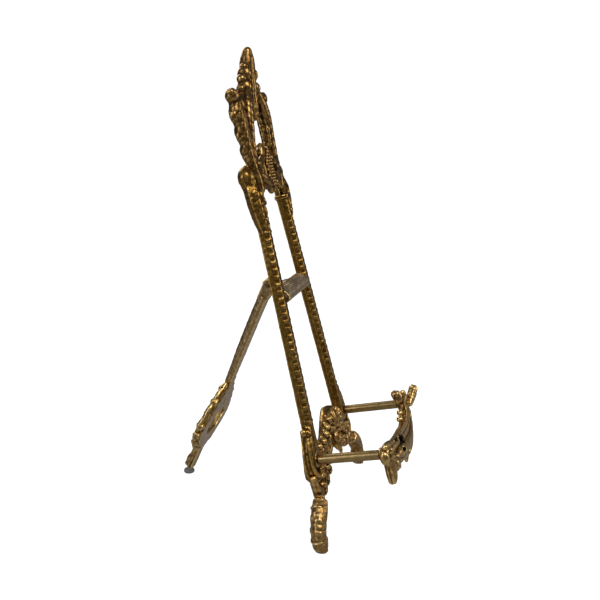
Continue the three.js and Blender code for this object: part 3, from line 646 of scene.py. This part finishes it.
# Rungs standing in a channel.
def rungPattern(u, side, pitch, slant):
    local = (u / pitch) % 1.0 - 0.5
    rung = np.sqrt(np.clip(1 - (local / 0.3) ** 2, 0, 1)) * fadeOut(np.abs(side), 0.62, 0.98)
    return 1.3 * rung - 0.85 * fadeOut(np.abs(side), 0.8, 1.0)


patterns = {"leaf": leafPattern, "ring": ringPattern, "rung": rungPattern}


def chase(mesh, guides):
    for g in guides:
        points, normals = getPoints(mesh), getNormals(mesh)
        u, side, gap, length = alongGuide(points, g["line"], g.get("out", (0, 0, 1.0)))
        reach = fadeOut(np.maximum(gap, np.abs(side)), g["reach"] * 0.72, g["reach"])
        ends = fade(u, -2.0, 1.0) * fadeOut(u, length - 1.0, length + 2.0)
        relief = patterns[g.get("pattern", "leaf")](u, side, g["pitch"], g.get("slant", 0))
        setPoints(mesh, points + normals * (relief * reach * ends * g["depth"])[:, None])


# Draws a skin in by a depth inside the given rooms, so that ornament laid over it hides the plain solid.
def shrinkIn(mesh, rooms):
    points, normals = getPoints(mesh), getNormals(mesh)
    for low, high, depth in rooms:
        inside = ((points > np.array(low, float)) & (points < np.array(high, float))).all(1)
        points[inside] -= normals[inside] * depth
    setPoints(mesh, points)


# Round sinkings, each given as x, v, n, radius and depth.
def sink(mesh, pits):
    points, normals = getPoints(mesh), getNormals(mesh)
    for x, v, n, radius, depth in pits:
        gap = np.linalg.norm(points - (x, v, n), axis=1)
        points -= normals * (fadeOut(gap, radius * 0.35, radius) * depth)[:, None]
    setPoints(mesh, points)


# Keeps a skin out of the room that belongs to its neighbours.
def keepOut(mesh, rooms):
    points = getPoints(mesh)
    for low, high in rooms:
        low, high = np.array(low, float), np.array(high, float)
        inside = np.flatnonzero(((points > low) & (points < high)).all(1))
        gaps = np.concatenate([points[inside] - low, high - points[inside]], 1)
        face = gaps.argmin(1)
        points[inside, face % 3] = np.where(face < 3, low[face % 3], high[face % 3])
    setPoints(mesh, points)


# The waves' lengths are shares of a lump's size, and their sum is divided by "even".
waves = {"count": 14, "range": (0.6, 1.6), "even": 3.7}


# Low swells and hollows left by the mould, from a few crossed waves.
def addCastLumps(mesh, amount, size, seed):
    points, normals = getPoints(mesh), getNormals(mesh)
    draw = np.random.default_rng(seed)
    total = np.zeros(len(points))
    for _ in range(waves["count"]):
        direction = draw.normal(size=3)
        direction /= np.linalg.norm(direction)
        turns = 2 * math.pi / (size * draw.uniform(*waves["range"]))
        total += np.sin(points @ direction * turns + draw.uniform(0, 6.28))
    setPoints(mesh, points + normals * (total / waves["even"] * amount)[:, None])


# Keeps a value at every point, for the materials to read.
def storeMark(mesh, label, values):
    mesh.attributes.new(label, "FLOAT", "POINT").data.foreach_set("value", values.astype(np.float32))


# For each mark: the rounds of smoothing that give the surroundings, and the height that counts as full.
reliefSet = {"relief": (4, 0.11), "broadRelief": (28, 0.8)}


# Stores how far each point stands above its surroundings, near by and further out.
def storeRelief(mesh, pull=0.7):
    points, normals, mean = getPoints(mesh), getNormals(mesh), neighbourMean(mesh)
    soft = points.copy()
    for label, (rounds, size) in reliefSet.items():
        for _ in range(rounds):
            soft += pull * (mean(soft) - soft)
        height = ((points - soft) * normals).sum(1)[:, None]
        height = (mean(height) + height) / 2
        storeMark(mesh, label, np.clip(height[:, 0] / size, -1, 1))


def storeEven(mesh, level):
    for label in reliefSet:
        storeMark(mesh, label, np.full(len(mesh.vertices), level))


# Where the deep pits get painted shade, taken before they are sunk.
def storePits(mesh, pits, deep=1.0):
    points = getPoints(mesh)
    dirt = np.zeros(len(points))
    for x, v, n, radius, depth in pits:
        if depth >= deep:
            away = np.linalg.norm(points - (x, v, n), axis=1)
            dirt = np.maximum(dirt, fadeOut(away, radius * 0.7, radius * 1.2))
    storeMark(mesh, "dirt", dirt)


# A mask of the points near a line or its mirror image.
def nearLine(points, line, low, high):
    folded = points * np.where(points[:, :1] < 0, (-1, 1, 1), (1, 1, 1))
    away = np.min([np.linalg.norm(folded - station[:3], axis=1) for station in line], axis=0)
    return fadeOut(away, low, high)


def placePiece(name, mesh, place, body, finish, nodes):
    setPoints(mesh, toWorld(getPoints(mesh), place))
    for polygon in mesh.polygons:
        polygon.use_smooth = True
    mesh.materials.clear()
    mesh.materials.append(finishes[finish])
    piece = addObject(name, mesh)
    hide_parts(*nodes)
    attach(piece, body)


# What a casting has unless its own dictionary says otherwise. Its coreSize and size are its skins' grains.
plainCasting = {
    "place": frontPlace, "melted": 0, "shrunk": [], "ornament": [], "softening": 2, "guides": [], "pits": [],
    "lumps": 0.07, "lumpSize": 4.5, "seed": 3, "rooms": [],
}


# A casting grown from its CAD solid: rounded, dressed with ornament, chased, and left with a cast skin.
def makeCasting(given):
    s = {**plainCasting, **given}
    core = skinOver([shapeOfNode(s["node"], s["place"])], s["coreSize"], s["name"] + "Core")
    relax(core, s["rounding"])
    melt(core, s["melted"])
    shrinkIn(core, s["shrunk"])
    mesh = skinOver([shapeOfMesh(core)] + s["ornament"], s["size"], s["name"])
    bpy.data.meshes.remove(core)
    relax(mesh, s["softening"])
    chase(mesh, s["guides"])
    # The deep pits get a mark for their painted shade.
    storePits(mesh, s["pits"])
    sink(mesh, s["pits"])
    addCastLumps(mesh, s["lumps"], s["lumpSize"], s["seed"])
    keepOut(mesh, s["rooms"])
    storeRelief(mesh)
    gilt = np.zeros(len(mesh.vertices))
    if "gilt" in s:
        gilt = nearLine(getPoints(mesh), *s["gilt"])
        storeMark(mesh, "gilt", gilt)
    # Faces turned along the given way are painted paler, a painted reflection.
    if "pale" in s:
        way, low, high = s["pale"]
        storeMark(mesh, "pale", fade(getNormals(mesh) @ np.array(way, float), low, high) * (1 - gilt))
    print("piece:", s["name"], len(mesh.polygons), "faces")
    return mesh


# Places a casting made for the right, and its mirror image on the left.
def placePair(name, right, finish, node):
    left = right.copy()
    left.name = "left" + name
    setPoints(left, getPoints(left) * (-1, 1, 1))
    left.flip_normals()
    placePiece("right" + name, right, frontPlace, "frame", finish, [node + "_right"])
    placePiece("left" + name, left, frontPlace, "frame", finish, [node + "_left"])


print("stage: crest")

crestSet = {
    "name": "crestCasting", "node": "crest", "coreSize": 0.5, "size": 0.42,
    "rounding": 6, "melted": 16, "softening": 7, "lumps": 0.05,
    "shrunk": [((-15, 313, -6), (15, 352, 20), 1.5), *bothRooms((8, 266, 2), (27, 306, 14), 1.2)],
    "rooms": bothRooms((16, 225, -9), (29.7, 267, 2.9)),
}
budSet = {
    "rows": 12, "low": 249.4, "rise": 2.1, "apart": 2.2, "size": 1.3, "tip": 243.6, "top": 279, "width": 8.0,
    "back": 3.6, "height": 4.6, "belly": 0.4,
}


# The cone of small buds that fills the middle drop.
def dropBuds(s):
    buds, size = [], s["size"]
    for row in range(s["rows"]):
        v = s["low"] + row * s["rise"]
        share = (v - s["tip"]) / (s["top"] - s["tip"])
        width = s["width"] * math.sin(math.pi * share ** 0.8)
        height = s["height"] + s["belly"] * math.sin(math.pi * share)
        for k in range(-3, 4):
            x = (k + 0.5 * (row % 2)) * s["apart"]
            if abs(x) < width * 0.8:
                n = s["back"] + height * math.sqrt(1 - (x / (width + 1.2)) ** 2)
                buds.append(ball(x, v, n, size, size, size, around=10, down=6))
    return buds


def crestCasting(s):
    filler = [curl([(26.6, 310, 3.2, 5, 4.2), (25.8, 298, 3.4, 6.4, 5), (25, 284, 3.2, 5.8, 4.6),
                    (24, 270, 3.2, 5, 4.2), (23.4, 260, 3.6, 3.8, 3.6)], 40, 32)]
    lobes = balls([
        (28.4, 311.8, 3.2, 6.2, 5, 5, -20), (27.4, 301, 2.8, 5.4, 8, 5.2, 8),
        (26.2, 287.6, 2.6, 5, 7.8, 5, 8), (25.2, 275, 2.6, 4.6, 7, 4.8, 8), (24.4, 264, 3, 3.8, 5.8, 4.4, 8),
        (24, 306.4, 5.4, 4.8, 6.4, 3, 10), (24, 294, 5.2, 4.6, 7, 3, 8), (23.2, 281.4, 5, 4.2, 6.6, 2.8, 8),
        (22.8, 269.6, 4.8, 3.8, 5.6, 2.6, 5)], 28, 18)
    column = [curl([(10.4, 314.4, 7.2, 3.2, 3), (14, 308, 8, 4, 3.2), (17.6, 300, 8.2, 3.8, 3),
                    (20, 290, 7.4, 3.2, 2.6), (21.4, 280, 6.4, 2.8, 2.2), (22, 270, 5.8, 2.6, 2)], 40, 28)]
    links = [curl([(22, 266, 5, 2.6, 2.2), (16, 265.4, 6, 2.8, 2.4), (9.4, 268.6, 6.2, 2.4, 2)]),
             curl([(21, 258.6, 5.4, 2.4, 2), (14.4, 254.8, 6.8, 3.2, 2.4), (6.4, 250.4, 7, 2.6, 2)])]
    cord = [curl([(5.6, 276, 6, 1.2, 1.3), (8.8, 265, 5.8, 1.4, 1.4), (8, 254, 6, 1.4, 1.4),
                  (2.4, 245, 5.6, 1.2, 1.3)])]
    shoulders = balls([(5.4, 331.6, 8, 3, 3, 3.2), (9.2, 324, 5.6, 3.4, 3.5, 3.6), (7.4, 327, 7.6, 2.9, 5, 5),
                       (9.4, 318, 6, 3.4, 5, 5.4)])
    finial = [curl([(0, 306, 4.4, 5.2, 5.2), (0, 318, 5.8, 5.8, 5.8), (0, 329, 7.8, 5.7, 5.7),
                    (0, 336.4, 9.6, 5.1, 5.1), (0, 342, 11.2, 3.2, 3.4)], 30, 48),
              ball(0, 305.6, 6.4, 5.4, 5, 3.4)]
    finialLine = [(2.8, 326, 13, 2.8), (2.8, 314, 11, 2.8), (2.8, 303, 10, 2.6)]
    lobeLine = [(24, 310, 5, 8), (25, 297, 5, 8), (24, 284, 4.6, 7.4), (23.4, 268, 4.4, 6)]
    guides = []
    for side in (-1, 1):
        guides.append({"pitch": 4.4, "depth": 0.4, "slant": side * 0.8, "reach": 1.5,
                       "line": [(side * x, v, n, half) for x, v, n, half in finialLine]})
        guides.append({"pitch": 6.4, "depth": 0.4, "slant": 0.9, "reach": 1.5, "out": (side * 0.6, 0, 0.8),
                       "line": [(side * x, v, n, half) for x, v, n, half in lobeLine]})
    mirrored = bothSides(filler + lobes + column + links + cord + shoulders)
    return makeCasting({**s, "ornament": mirrored + finial + dropBuds(budSet), "guides": guides})


placePiece("crestCasting", crestCasting(crestSet), frontPlace, "frame", "deep", ["crest"])

print("stage: base")

baseSet = {
    "name": "baseCasting", "node": "base", "coreSize": 0.5, "size": 0.4, "rounding": 4,
    "melted": 10, "softening": 5, "seed": 5, "shrunk": bothRooms((6.5, 68, -4), (24, 80, 12), 1.6),
    "pits": [(side * x, v, n, radius, depth) for side in (-1, 1) for x, v, n, radius, depth in (
        (10.4, 57, 7, 2.2, 1.6), (26.4, 45.4, 5.4, 2, 1.6), (33.4, 53, 4, 1.8, 1.4))],
}
fanSet = {"side": 3, "turn": 22, "foot": 61, "length": 12, "less": 0.5}


# The fan of petals that stands in the middle of the base.
def baseFan(s):
    petals = []
    for i in range(-s["side"], s["side"] + 1):
        a = math.radians(i * s["turn"])
        length = s["length"] - abs(i) * s["less"]
        stations = [(math.sin(a) * r, s["foot"] + math.cos(a) * r, n, half, half * 1.1) for r, n, half in (
            (2, 8.2, 1.1), (length * 0.55, 8.8, 2), (length, 7, 2.4))]
        petals.append(curl(stations, 12, 14))
    return petals


def baseCasting(s):
    upper = leafOf([(34, 58.6, 3, 4), (26, 60, 5.4, 4.6), (19, 63.6, 7.6, 4.6), (13, 68.6, 8, 4),
                    (6, 72.2, 7.6, 3.2)], 5)
    arch = leafOf([(46, 34.6, 2.6, 3.8), (38, 34.8, 3, 4.4), (29, 38, 3.2, 4.6), (20, 43, 3.4, 4),
                   (12, 47, 4, 3)], 4)
    inner = leafOf([(38, 39, 3, 3), (33.6, 47, 3.6, 4.2), (28, 57, 4.6, 4)], 3)
    volute = leafOf([(30, 50, 4.4, 3), (22.6, 53.4, 5.4, 4.4), (16.8, 60.6, 7, 4)], 3)
    knobs = balls([(x, v, n, 2.5, 2.75, 2.25) for x, v, n in ((30.6, 48.6, 4), (36.6, 42.6, 3))], 14, 10)
    rim = [curl([(0, 75, 3.2, 3, 2.8), (7, 73, 4.4, 3.4, 3.2), (13, 69.2, 5, 4, 3.6), (19, 64, 5, 4.2, 3.6),
                 (25, 58.6, 4.4, 4, 3.4), (30, 52.4, 4, 3.4, 3)], 30, 26)]
    drop = balls([(0, 52.6, 7.6, 3.8, 6.2, 3), (0, 46, 8.8, 2.2, 2.6, 2.2), (0, 42.8, 9, 1.6, 3, 1.6)])
    veins = {"pitch": 3.2, "depth": 0.22, "slant": 0.9, "reach": 1.2}
    lines = [[(33, 59, 4, 4), (20, 63, 8, 4.4), (14, 69, 8.6, 4.2), (8, 73, 8.4, 3.6)],
             [(46, 35, 4.6, 4), (39, 34.6, 5.4, 4.6), (30.6, 37.4, 5.4, 4.8), (13, 46.4, 5, 3.4)]]
    guides = [{**veins, "line": [(side * x, v, n, half) for x, v, n, half in line]}
              for side in (-1, 1) for line in lines]
    mirrored = bothSides(upper + arch + inner + volute + knobs + rim)
    return makeCasting({**s, "ornament": mirrored + baseFan(fanSet) + drop, "guides": guides})


placePiece("baseCasting", baseCasting(baseSet), frontPlace, "frame", "warm", ["base"])

print("stage: front rail")

railSet = {
    "name": "railCasting", "node": "front_rail", "coreSize": 0.45, "size": 0.38,
    "rounding": 4, "melted": 10, "softening": 3, "seed": 7, "shrunk": [((36, 60, 44), (70, 80, 70), 0.4)],
    "pits": [(-27.6, 60, 58.8, 2, 1.6), (-24.6, 59, 59.2, 2, 1.6), (-18, 55.4, 60.2, 3.8, 2.8),
             (-13.6, 53.6, 60.6, 3.8, 2.8), (-22.4, 49.6, 62, 2, 1.4), (-20, 48.8, 62.2, 2, 1.4),
             (37.4, 65.4, 52, 4.4, 0.7)],
}


def railCasting(s):
    ridges = [
        curl([(44, 56, 55.8, 2.8, 2.4), (32, 51.2, 57, 3.2, 2.6), (18, 49.6, 58, 3.4, 2.6),
              (4, 51, 58.6, 3.4, 2.6), (-10, 53.4, 58.4, 3.2, 2.6), (-24, 56, 57.4, 3, 2.4),
              (-41, 57.8, 56.4, 2.6, 2.2)], 60, 20),
        curl([(42, 60, 55.4, 0.9, 0.9), (32, 54.8, 58.2, 1.1, 1.1), (18, 53.2, 59.2, 1.1, 1.1),
              (4, 54.8, 59.8, 1.1, 1.1), (-10, 57, 59.4, 1.1, 1.1), (-26, 59.4, 58, 1, 1),
              (-36, 60.4, 56.6, 0.8, 0.8)], 60, 14),
        curl([(42, 51.4, 57, 2.4, 2.2), (29, 42.6, 58.4, 2.8, 2.4), (15, 37.2, 58.8, 2.8, 2.4),
              (4, 35.2, 58.4, 2.2, 2)], 40, 18),
        curl([(-42, 51, 56.6, 2.4, 2.2), (-32, 46, 57.8, 2.8, 2.4), (-20, 43, 58.4, 2.8, 2.4),
              (-8, 39.6, 58.6, 2.2, 2)], 40, 18),
        curl([(-33, 49.4, 57.8, 2.2, 2), (-20, 47.6, 59.6, 4.6, 3), (-6, 45.4, 60.2, 5, 3),
              (8, 44, 60.2, 4.2, 2.8), (20, 44.6, 59.6, 3.2, 2.6), (32, 47.4, 58.2, 2, 2)], 44, 20)]
    ends = [
        curl([(-42.6, 54, 55.6, 4, 2.8), (-43.2, 46, 56.2, 5, 2.8), (-43.6, 39.8, 55.8, 4.8, 2.2)], 24, 24),
        curl([(-38.6, 48, 57.8, 2.4, 2.4), (-34, 44, 58, 2.8, 2.2), (-31, 41, 57.4, 1.8, 1.8)], 20),
        curl([(47, 55.6, 58.6, 2.6, 2.6), (52.4, 60, 61, 3.4, 3), (56.6, 63.8, 62.6, 3.4, 3)], 20),
        curl([(-46, 63, 54.6, 2.2, 2), (-38.6, 61.4, 55.6, 2.6, 2.2), (-32, 58.8, 56.4, 2, 2)]),
        ball(41, 63.6, 51.8, 4.4, 6, 3.4, 0, 24, 16), ball(47.4, 63, 54.8, 2.6, 4.6, 2.4, -10, 18, 12)]
    buds = balls([(26, 57, 53.8, 2.8, 2.4, 2.4), (18.8, 54.8, 54.2, 2.6, 2.4, 2.4),
                  (44.2, 50.8, 55.6, 4.4, 3, 3), (-49.2, 56.6, 53.8, 2.6, 5, 3.4),
                  (49.2, 54.8, 55.2, 2.4, 4.4, 3.2)])
    veins = {"pitch": 4.6, "depth": 0.22, "slant": 1.4, "reach": 1.2}
    tipVeins = {**veins, "pitch": 2.6, "depth": 0.2, "slant": 0.8}
    guides = [
        {**veins, "line": [(-44, 57, 57, 4.4), (-20, 54.4, 58, 4.6), (6, 50, 58.8, 4.6),
                           (33, 49, 57.4, 4.4)]},
        {**tipVeins, "line": [(48, 57, 60, 3.4), (53, 60.8, 61.6, 3.8), (57, 64.4, 63, 3.4)]},
        {**veins, "line": [(46, 52, 58, 3.6), (30, 42, 59, 4), (2, 34.8, 59, 3.4)]}]
    return makeCasting({**s, "ornament": ridges + ends + buds, "guides": guides})


placePiece("railCasting", railCasting(railSet), frontPlace, "frame", "gilt", ["front_rail"])

print("stage: uprights")

# The rooms are the crest's, one that keeps the rungs of the shaft low, and the rod's.
uprightSet = {
    "name": "rightUpright", "node": "upright_right", "coreSize": 0.4, "size": 0.38,
    "rounding": 3, "softening": 3, "seed": 11,
    "pits": [(50, 73.6, 1.4, 2, 1.6), (52.6, 65, 1.2, 1.8, 1.2), (51.8, 47, 1.4, 1.8, 1.4)],
    "rooms": [((5, 240.6, 2.6), (29.4, 290, 25)), ((18, 84, 6.05), (44, 214, 20)),
              ((40.3, 53.3, 6.1), (48.1, 61.1, 20))],
}


def uprightCasting(s):
    leaf = balls([
        (33.6, 245, 2.4, 4, 6, 4.6, 5), (28.2, 243.4, 5.6, 3, 4.6, 3, -5),
        (32.6, 234.6, 2.8, 3.6, 6, 4.2, 12), (28.4, 233.4, 4.8, 3.2, 5.2, 3, 5),
        (30.8, 225.4, 2.8, 3, 5.4, 3.8, 14), (28, 222, 3.8, 2.8, 5, 3, 5)], 20, 14)
    bulb = [ball(31.2, 257.6, -0.1, 6.8, 7.6, 6, 0, 28, 20)]
    folds = [curl([(24.8, 240, 3.8, 1, 1.1), (28.6, 238.8, 6.6, 1.2, 1), (33, 239, 5.8, 1.2, 1),
                   (35.6, 240.2, 3, 1.1, 1)]),
             curl([(25.6, 229.4, 4.6, 1.2, 1.2), (29, 227.6, 6.4, 1.4, 1.2), (33, 229.2, 4.8, 1.3, 1.2)]),
             curl([(25.4, 219.6, 3.8, 1.1, 1.1), (28.2, 217.8, 5.2, 1.3, 1.1), (31.2, 219.4, 4, 1.2, 1.1)])]
    rims = [curl([(44.4, 80, 0.4, 1, 1.2), (46.2, 77, -0.4, 1.3, 1.4), (47.6, 71, -1, 1.1, 1.1),
                  (50.4, 64, -1.2, 1.2, 1.2), (52, 55.6, -1.6, 1.2, 1.2), (50.6, 47.4, -1.4, 1.3, 1.3),
                  (45.6, 42.4, 0.4, 1.4, 1.6), (40.4, 43, 2.6, 1.5, 1.6)], 40),
            curl([(47, 74, 3, 1, 1.1), (50.4, 64.6, 3.6, 1.1, 1.2), (51.8, 55.6, 3.8, 1.2, 1.3),
                  (49.6, 48, 4.2, 1.4, 1.5), (45.4, 45.2, 5, 1.5, 1.5)], 30)]
    seats = balls([(39, 47.4, 4.6, 2.8, 3, 2.4), (46.4, 78.4, 0.8, 2, 3, 2.6), (50.4, 52, 1.4, 2.4, 3.2, 2),
                   (49.6, 60.6, 1.4, 2.2, 2.8, 1.8)])
    guides = [{"pitch": 4.6, "depth": 0.3, "slant": 0.9, "reach": 1.4,
               "line": [(31.2, 249, 4, 7), (31, 240, 5, 7), (29.8, 230, 4.6, 5.6), (28.2, 219, 4, 4)]}]
    for side in (-1, 1):
        guides.append({"pattern": "rung", "pitch": 5.2, "depth": 0.25, "reach": 1.25,
                       "out": (side * 0.889, 0, 0.457),
                       "line": [(uprightX(v) + side * 3.2, v, 4.1, 1.95) for v in (80.9, 130, 180, 223.9)]})
    return makeCasting({**s, "ornament": leaf + bulb + folds + rims + seats, "guides": guides})


placePair("Upright", uprightCasting(uprightSet), "olive", "upright")

print("stage: feet")

footSet = {
    "name": "rightFoot", "node": "foot_right", "coreSize": 0.4, "size": 0.35,
    "rounding": 4, "melted": 12, "softening": 4, "lumps": 0.1, "lumpSize": 3.6, "seed": 13,
    "guides": [{"pitch": 3.6, "depth": 0.24, "slant": 0.8, "reach": 1.4,
                "out": (-0.5, 0, 0.86), "line": [(59.6, 24, 2.8, 6), (63, 20, 2.4, 6), (66, 15, 1.4, 5.6)]}],
}


def footCasting(s):
    bands = balls([(56.4, 27, 2.5, 2, 6.4, 6.1, 50), (61, 22.6, 2, 4.6, 6.2, 5.6, 40),
                   (65.8, 16.4, 1.4, 5.6, 4, 5.7, 20), (67.4, 10.4, 0.9, 5.7, 1.8, 5.8, 6)], 28, 16)
    toe = [ball(65.6, 5.2, 0.6, 6, 5.3, 5.5, 0, 28, 18), ball(60.6, 5.8, 0.6, 4, 4.6, 4.4)]
    return makeCasting({**s, "ornament": bands + toe})


placePair("Foot", footCasting(footSet), "gilt", "foot")

print("stage: crossbar")

# Faces that look along the way of the paler-face mark are painted paler, a painted reflection: not at all at
# its first number, and fully at its second.
crossbarSet = {
    "name": "crossbarCasting", "node": "crossbar", "coreSize": 0.35, "size": 0.32,
    "rounding": 3, "lumps": 0.04, "seed": 17, "pale": ((0, 0.3, 0.95), -0.4, 0.3),
    "guides": [{"pattern": "ring", "pitch": 2.1, "depth": 0.4, "reach": 1.3, "out": (0, 0.6, 0.8),
                "line": [(x, 175.4, 4, 4.6) for x in (-25, -8, 8, 25)]}],
}

placePiece("crossbarCasting", makeCasting(crossbarSet), frontPlace, "frame", "grey_brass", ["crossbar"])

print("stage: rear leg")

# Faces of the leg turned toward the front are painted paler, a painted reflection.
legSet = {
    "name": "rearLegCasting", "node": "rear_leg", "place": legPlace, "coreSize": 0.4, "size": 0.4,
    "rounding": 5, "softening": 5, "lumps": 0.06, "seed": 19, "pale": ((-0.3, 0, 0.95), 0.35, 0.85),
}
borderLine = [(6.4, -89, 1.4, 2.4), (13.4, -97.6, 1.2, 3.2), (19.2, -107.6, 1, 3.6), (24, -117, 0.6, 3.6),
              (24.8, -128, 0.4, 3.6), (20.8, -137.8, 0.8, 3.4), (13.2, -145.8, 1.2, 2.8)]


# The leg has a leafy border, with lobes and dimples by turns along it.
def legCasting(s):
    path = smoothCurve(borderLine, 11)
    lobes = [curl([(x, v, n, half * 0.62, half * 0.72) for x, v, n, half in path])]
    dimples = []
    for i, (here, after) in enumerate(zip(path, path[1:])):
        x, v = (here[:2] + after[:2]) / 2
        n, half = here[2:]
        turn = -math.degrees(math.atan2(after[0] - here[0], here[1] - after[1]))
        if i % 2:
            lobes.append(ball(x + 0.7, v, n - 0.4, half * 0.7, half * 1.9, half * 0.74, turn, 22, 14))
        else:
            dimples += [(side * (x + 1.2), v, n - 1, 1.5, 0.9) for side in (-1, 1)]
    knobs = balls([(11.2, -148.8, 0.8, 3.3, 3.6, 3.8), (6.2, -153.6, 1.2, 2.6, 3, 3)])
    toe = balls([(0, -170.4, -0.6, 4.5, 6.8, 4.3), (0, -162, 0.1, 4.1, 6.4, 3.7)], 22, 14)
    toeLine = [(0, v, 0, 0) for v in (-160, -164, -168, -172, -176)]
    return makeCasting({**s, "ornament": bothSides(lobes + knobs) + toe, "pits": dimples,
                        "gilt": ([*path, *toeLine], 3.2, 5.2)})


placePiece("rearLegCasting", legCasting(legSet), legPlace, "rear_leg", "grey_brass", ["rear_leg"])

print("stage: rods, screws, pins and pad")


# A turned shape about a line along n at x, v, through a profile of radius and n.
def turned(name, profile, x, v, around=48):
    points = []
    for radius, n in profile:
        for k in range(around):
            a = 2 * math.pi * k / around
            points.append((x + radius * math.cos(a), v + radius * math.sin(a), n))
    mesh = bpy.data.meshes.new(name)
    mesh.from_pydata(points, [], tubeFaces(len(profile), around))
    mesh.update()
    if profile[0][1] > profile[-1][1]:
        mesh.flip_normals()
    return mesh


# Splits the long steps of a profile and takes a small cut off its corners.
def softProfile(profile, cut, step=0.6):
    out = [profile[0]]
    for a, b, c in zip(profile, profile[1:], profile[2:]):
        for end in (a, c):
            gap = math.dist(end, b)
            k = min(cut, gap / 3) / gap
            out.append((b[0] + (end[0] - b[0]) * k, b[1] + (end[1] - b[1]) * k))
    out.append(profile[-1])
    fine = [out[0]]
    for (r0, n0), (r1, n1) in zip(out, out[1:]):
        parts = max(1, round(math.dist((r0, n0), (r1, n1)) / step))
        fine += [(r0 + (r1 - r0) * k / parts, n0 + (n1 - n0) * k / parts) for k in range(1, parts + 1)]
    return fine


# Saws a driver's slot across a head.
def cutSlot(mesh, x, v, lowN, highN, slant, half=0.4, reach=4):
    sine, cosine = math.sin(slant), math.cos(slant)
    corners = [(x + u * cosine - w * sine, v + u * sine + w * cosine, n) for n in (lowN, highN)
               for u, w in ((-reach, -half), (reach, -half), (reach, half), (-reach, half))]
    sides = [(3, 2, 1, 0), (4, 5, 6, 7), (0, 1, 5, 4), (1, 2, 6, 5), (2, 3, 7, 6), (3, 0, 4, 7)]
    blade = bpy.data.meshes.new("blade")
    blade.from_pydata(corners, [], sides)
    head, saw = addObject("head", mesh), addObject("saw", blade)
    modifier = head.modifiers.new("slot", "BOOLEAN")
    modifier.object, modifier.operation, modifier.solver = saw, "DIFFERENCE", "EXACT"
    cut = workedMesh(head)
    cut.name = mesh.name
    for worker, spent in ((head, mesh), (saw, blade)):
        bpy.data.objects.remove(worker)
        bpy.data.meshes.remove(spent)
    return cut


rodSpot = (44.2, 57.2)
crestScrewV = 254

# Each piece of hardware is a profile of radius and n, turned about its spot on the right and on the left.
hardware = {
    "Rod": {
        "profile": [(0.01, -4), (1.8, -4), (1.8, 6.3), (3.3, 6.3), (3.35, 12), (3.35, 44), (3.3, 49.4),
                    (1.6, 49.4), (1.6, 41.4), (0.01, 41.4)],
        "spot": rodSpot, "cut": 0.2, "lumps": (0.025, 9, 29), "level": 0.0, "finish": "rod_brass",
        "node": "rod_"},
    "RailScrew": {
        "profile": [(0.01, 42.4), (1.2, 42.4), (1.2, 57.3), (2.7, 57.3), (2.62, 57.95), (1.62, 58.8),
                    (0.01, 59)],
        "spot": rodSpot, "cut": 0.12, "slot": (58.2, 62, 0.5), "level": 0.1, "finish": "rubbed_brass",
        "node": "rail_screw_"},
    "CrestScrew": {
        "profile": [(0.01, 5.4), (1.2, 5.4), (1.2, -3.3), (2.7, -3.3), (2.62, -3.95), (1.62, -4.8),
                    (0.01, -5)],
        "spot": (uprightX(crestScrewV) - 0.6, crestScrewV), "cut": 0.12, "slot": (-8, -4.2, 1.1),
        "level": -0.1, "finish": "dark_brass", "node": "crest_screw_"},
    "FootPin": {
        "profile": [(0.01, -1.9), (0.8, -1.9), (0.8, 6.4), (0.01, 6.4)],
        "spot": (54.83, 27.186), "cut": 0.2, "around": 24, "level": -0.1, "finish": "dark_brass",
        "node": "foot_pin_"},
}

for side, label in ((1, "right"), (-1, "left")):
    for kind, s in hardware.items():
        x, v = s["spot"][0] * side, s["spot"][1]
        piece = turned(label + kind, softProfile(s["profile"], s["cut"]), x, v, s.get("around", 48))
        if "lumps" in s:
            addCastLumps(piece, *s["lumps"])
        if "slot" in s:
            lowN, highN, slant = s["slot"]
            piece = cutSlot(piece, x, v, lowN, highN, slant * side)
        storeEven(piece, s["level"])
        placePiece(label + kind, piece, frontPlace, "frame", s["finish"], [s["node"] + label])

# The hinge pin is turned upright and laid across the leg.
hingeProfile = [(0.01, -5.7), (1.75, -5.7), (2.5, -4.6), (1.4, -4.6), (1.4, 4.6), (2.5, 4.6), (1.75, 5.7),
                (0.01, 5.7)]
hinge = turned("hingePinTurned", softProfile(hingeProfile, 0.15), 0, 0, 32)
x, v, n = getPoints(hinge).T
setPoints(hinge, np.stack([n, v, -x], 1))
storeEven(hinge, 0.1)
placePiece("hingePinTurned", hinge, legPlace, "rear_leg", "dark_brass", ["hinge_pin"])

# The pad is turned upright and stands straight in the world, under the leg's toe.
padProfile = [(0.01, 0), (4.1, 0), (4.6, 0.6), (4.3, 2.2), (0.01, 2.2)]
padPlace = {"lean": 0, "y": 0, "z": 0}
padLow, padHigh = (np.array(corner) * 1000 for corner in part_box("rear_pad"))
pad = turned("feltPad", softProfile(padProfile, 0.3, 0.4), 0, 0, 96)
addCastLumps(pad, 0.045, 1.5, 23)
x, v, n = getPoints(pad).T
setPoints(pad, np.stack([x, n + padLow[2], -v - (padLow[1] + padHigh[1]) / 2], 1))
storeEven(pad, 0.0)
placePiece("feltPad", pad, padPlace, "rear_leg", "grey_felt", ["rear_pad"])
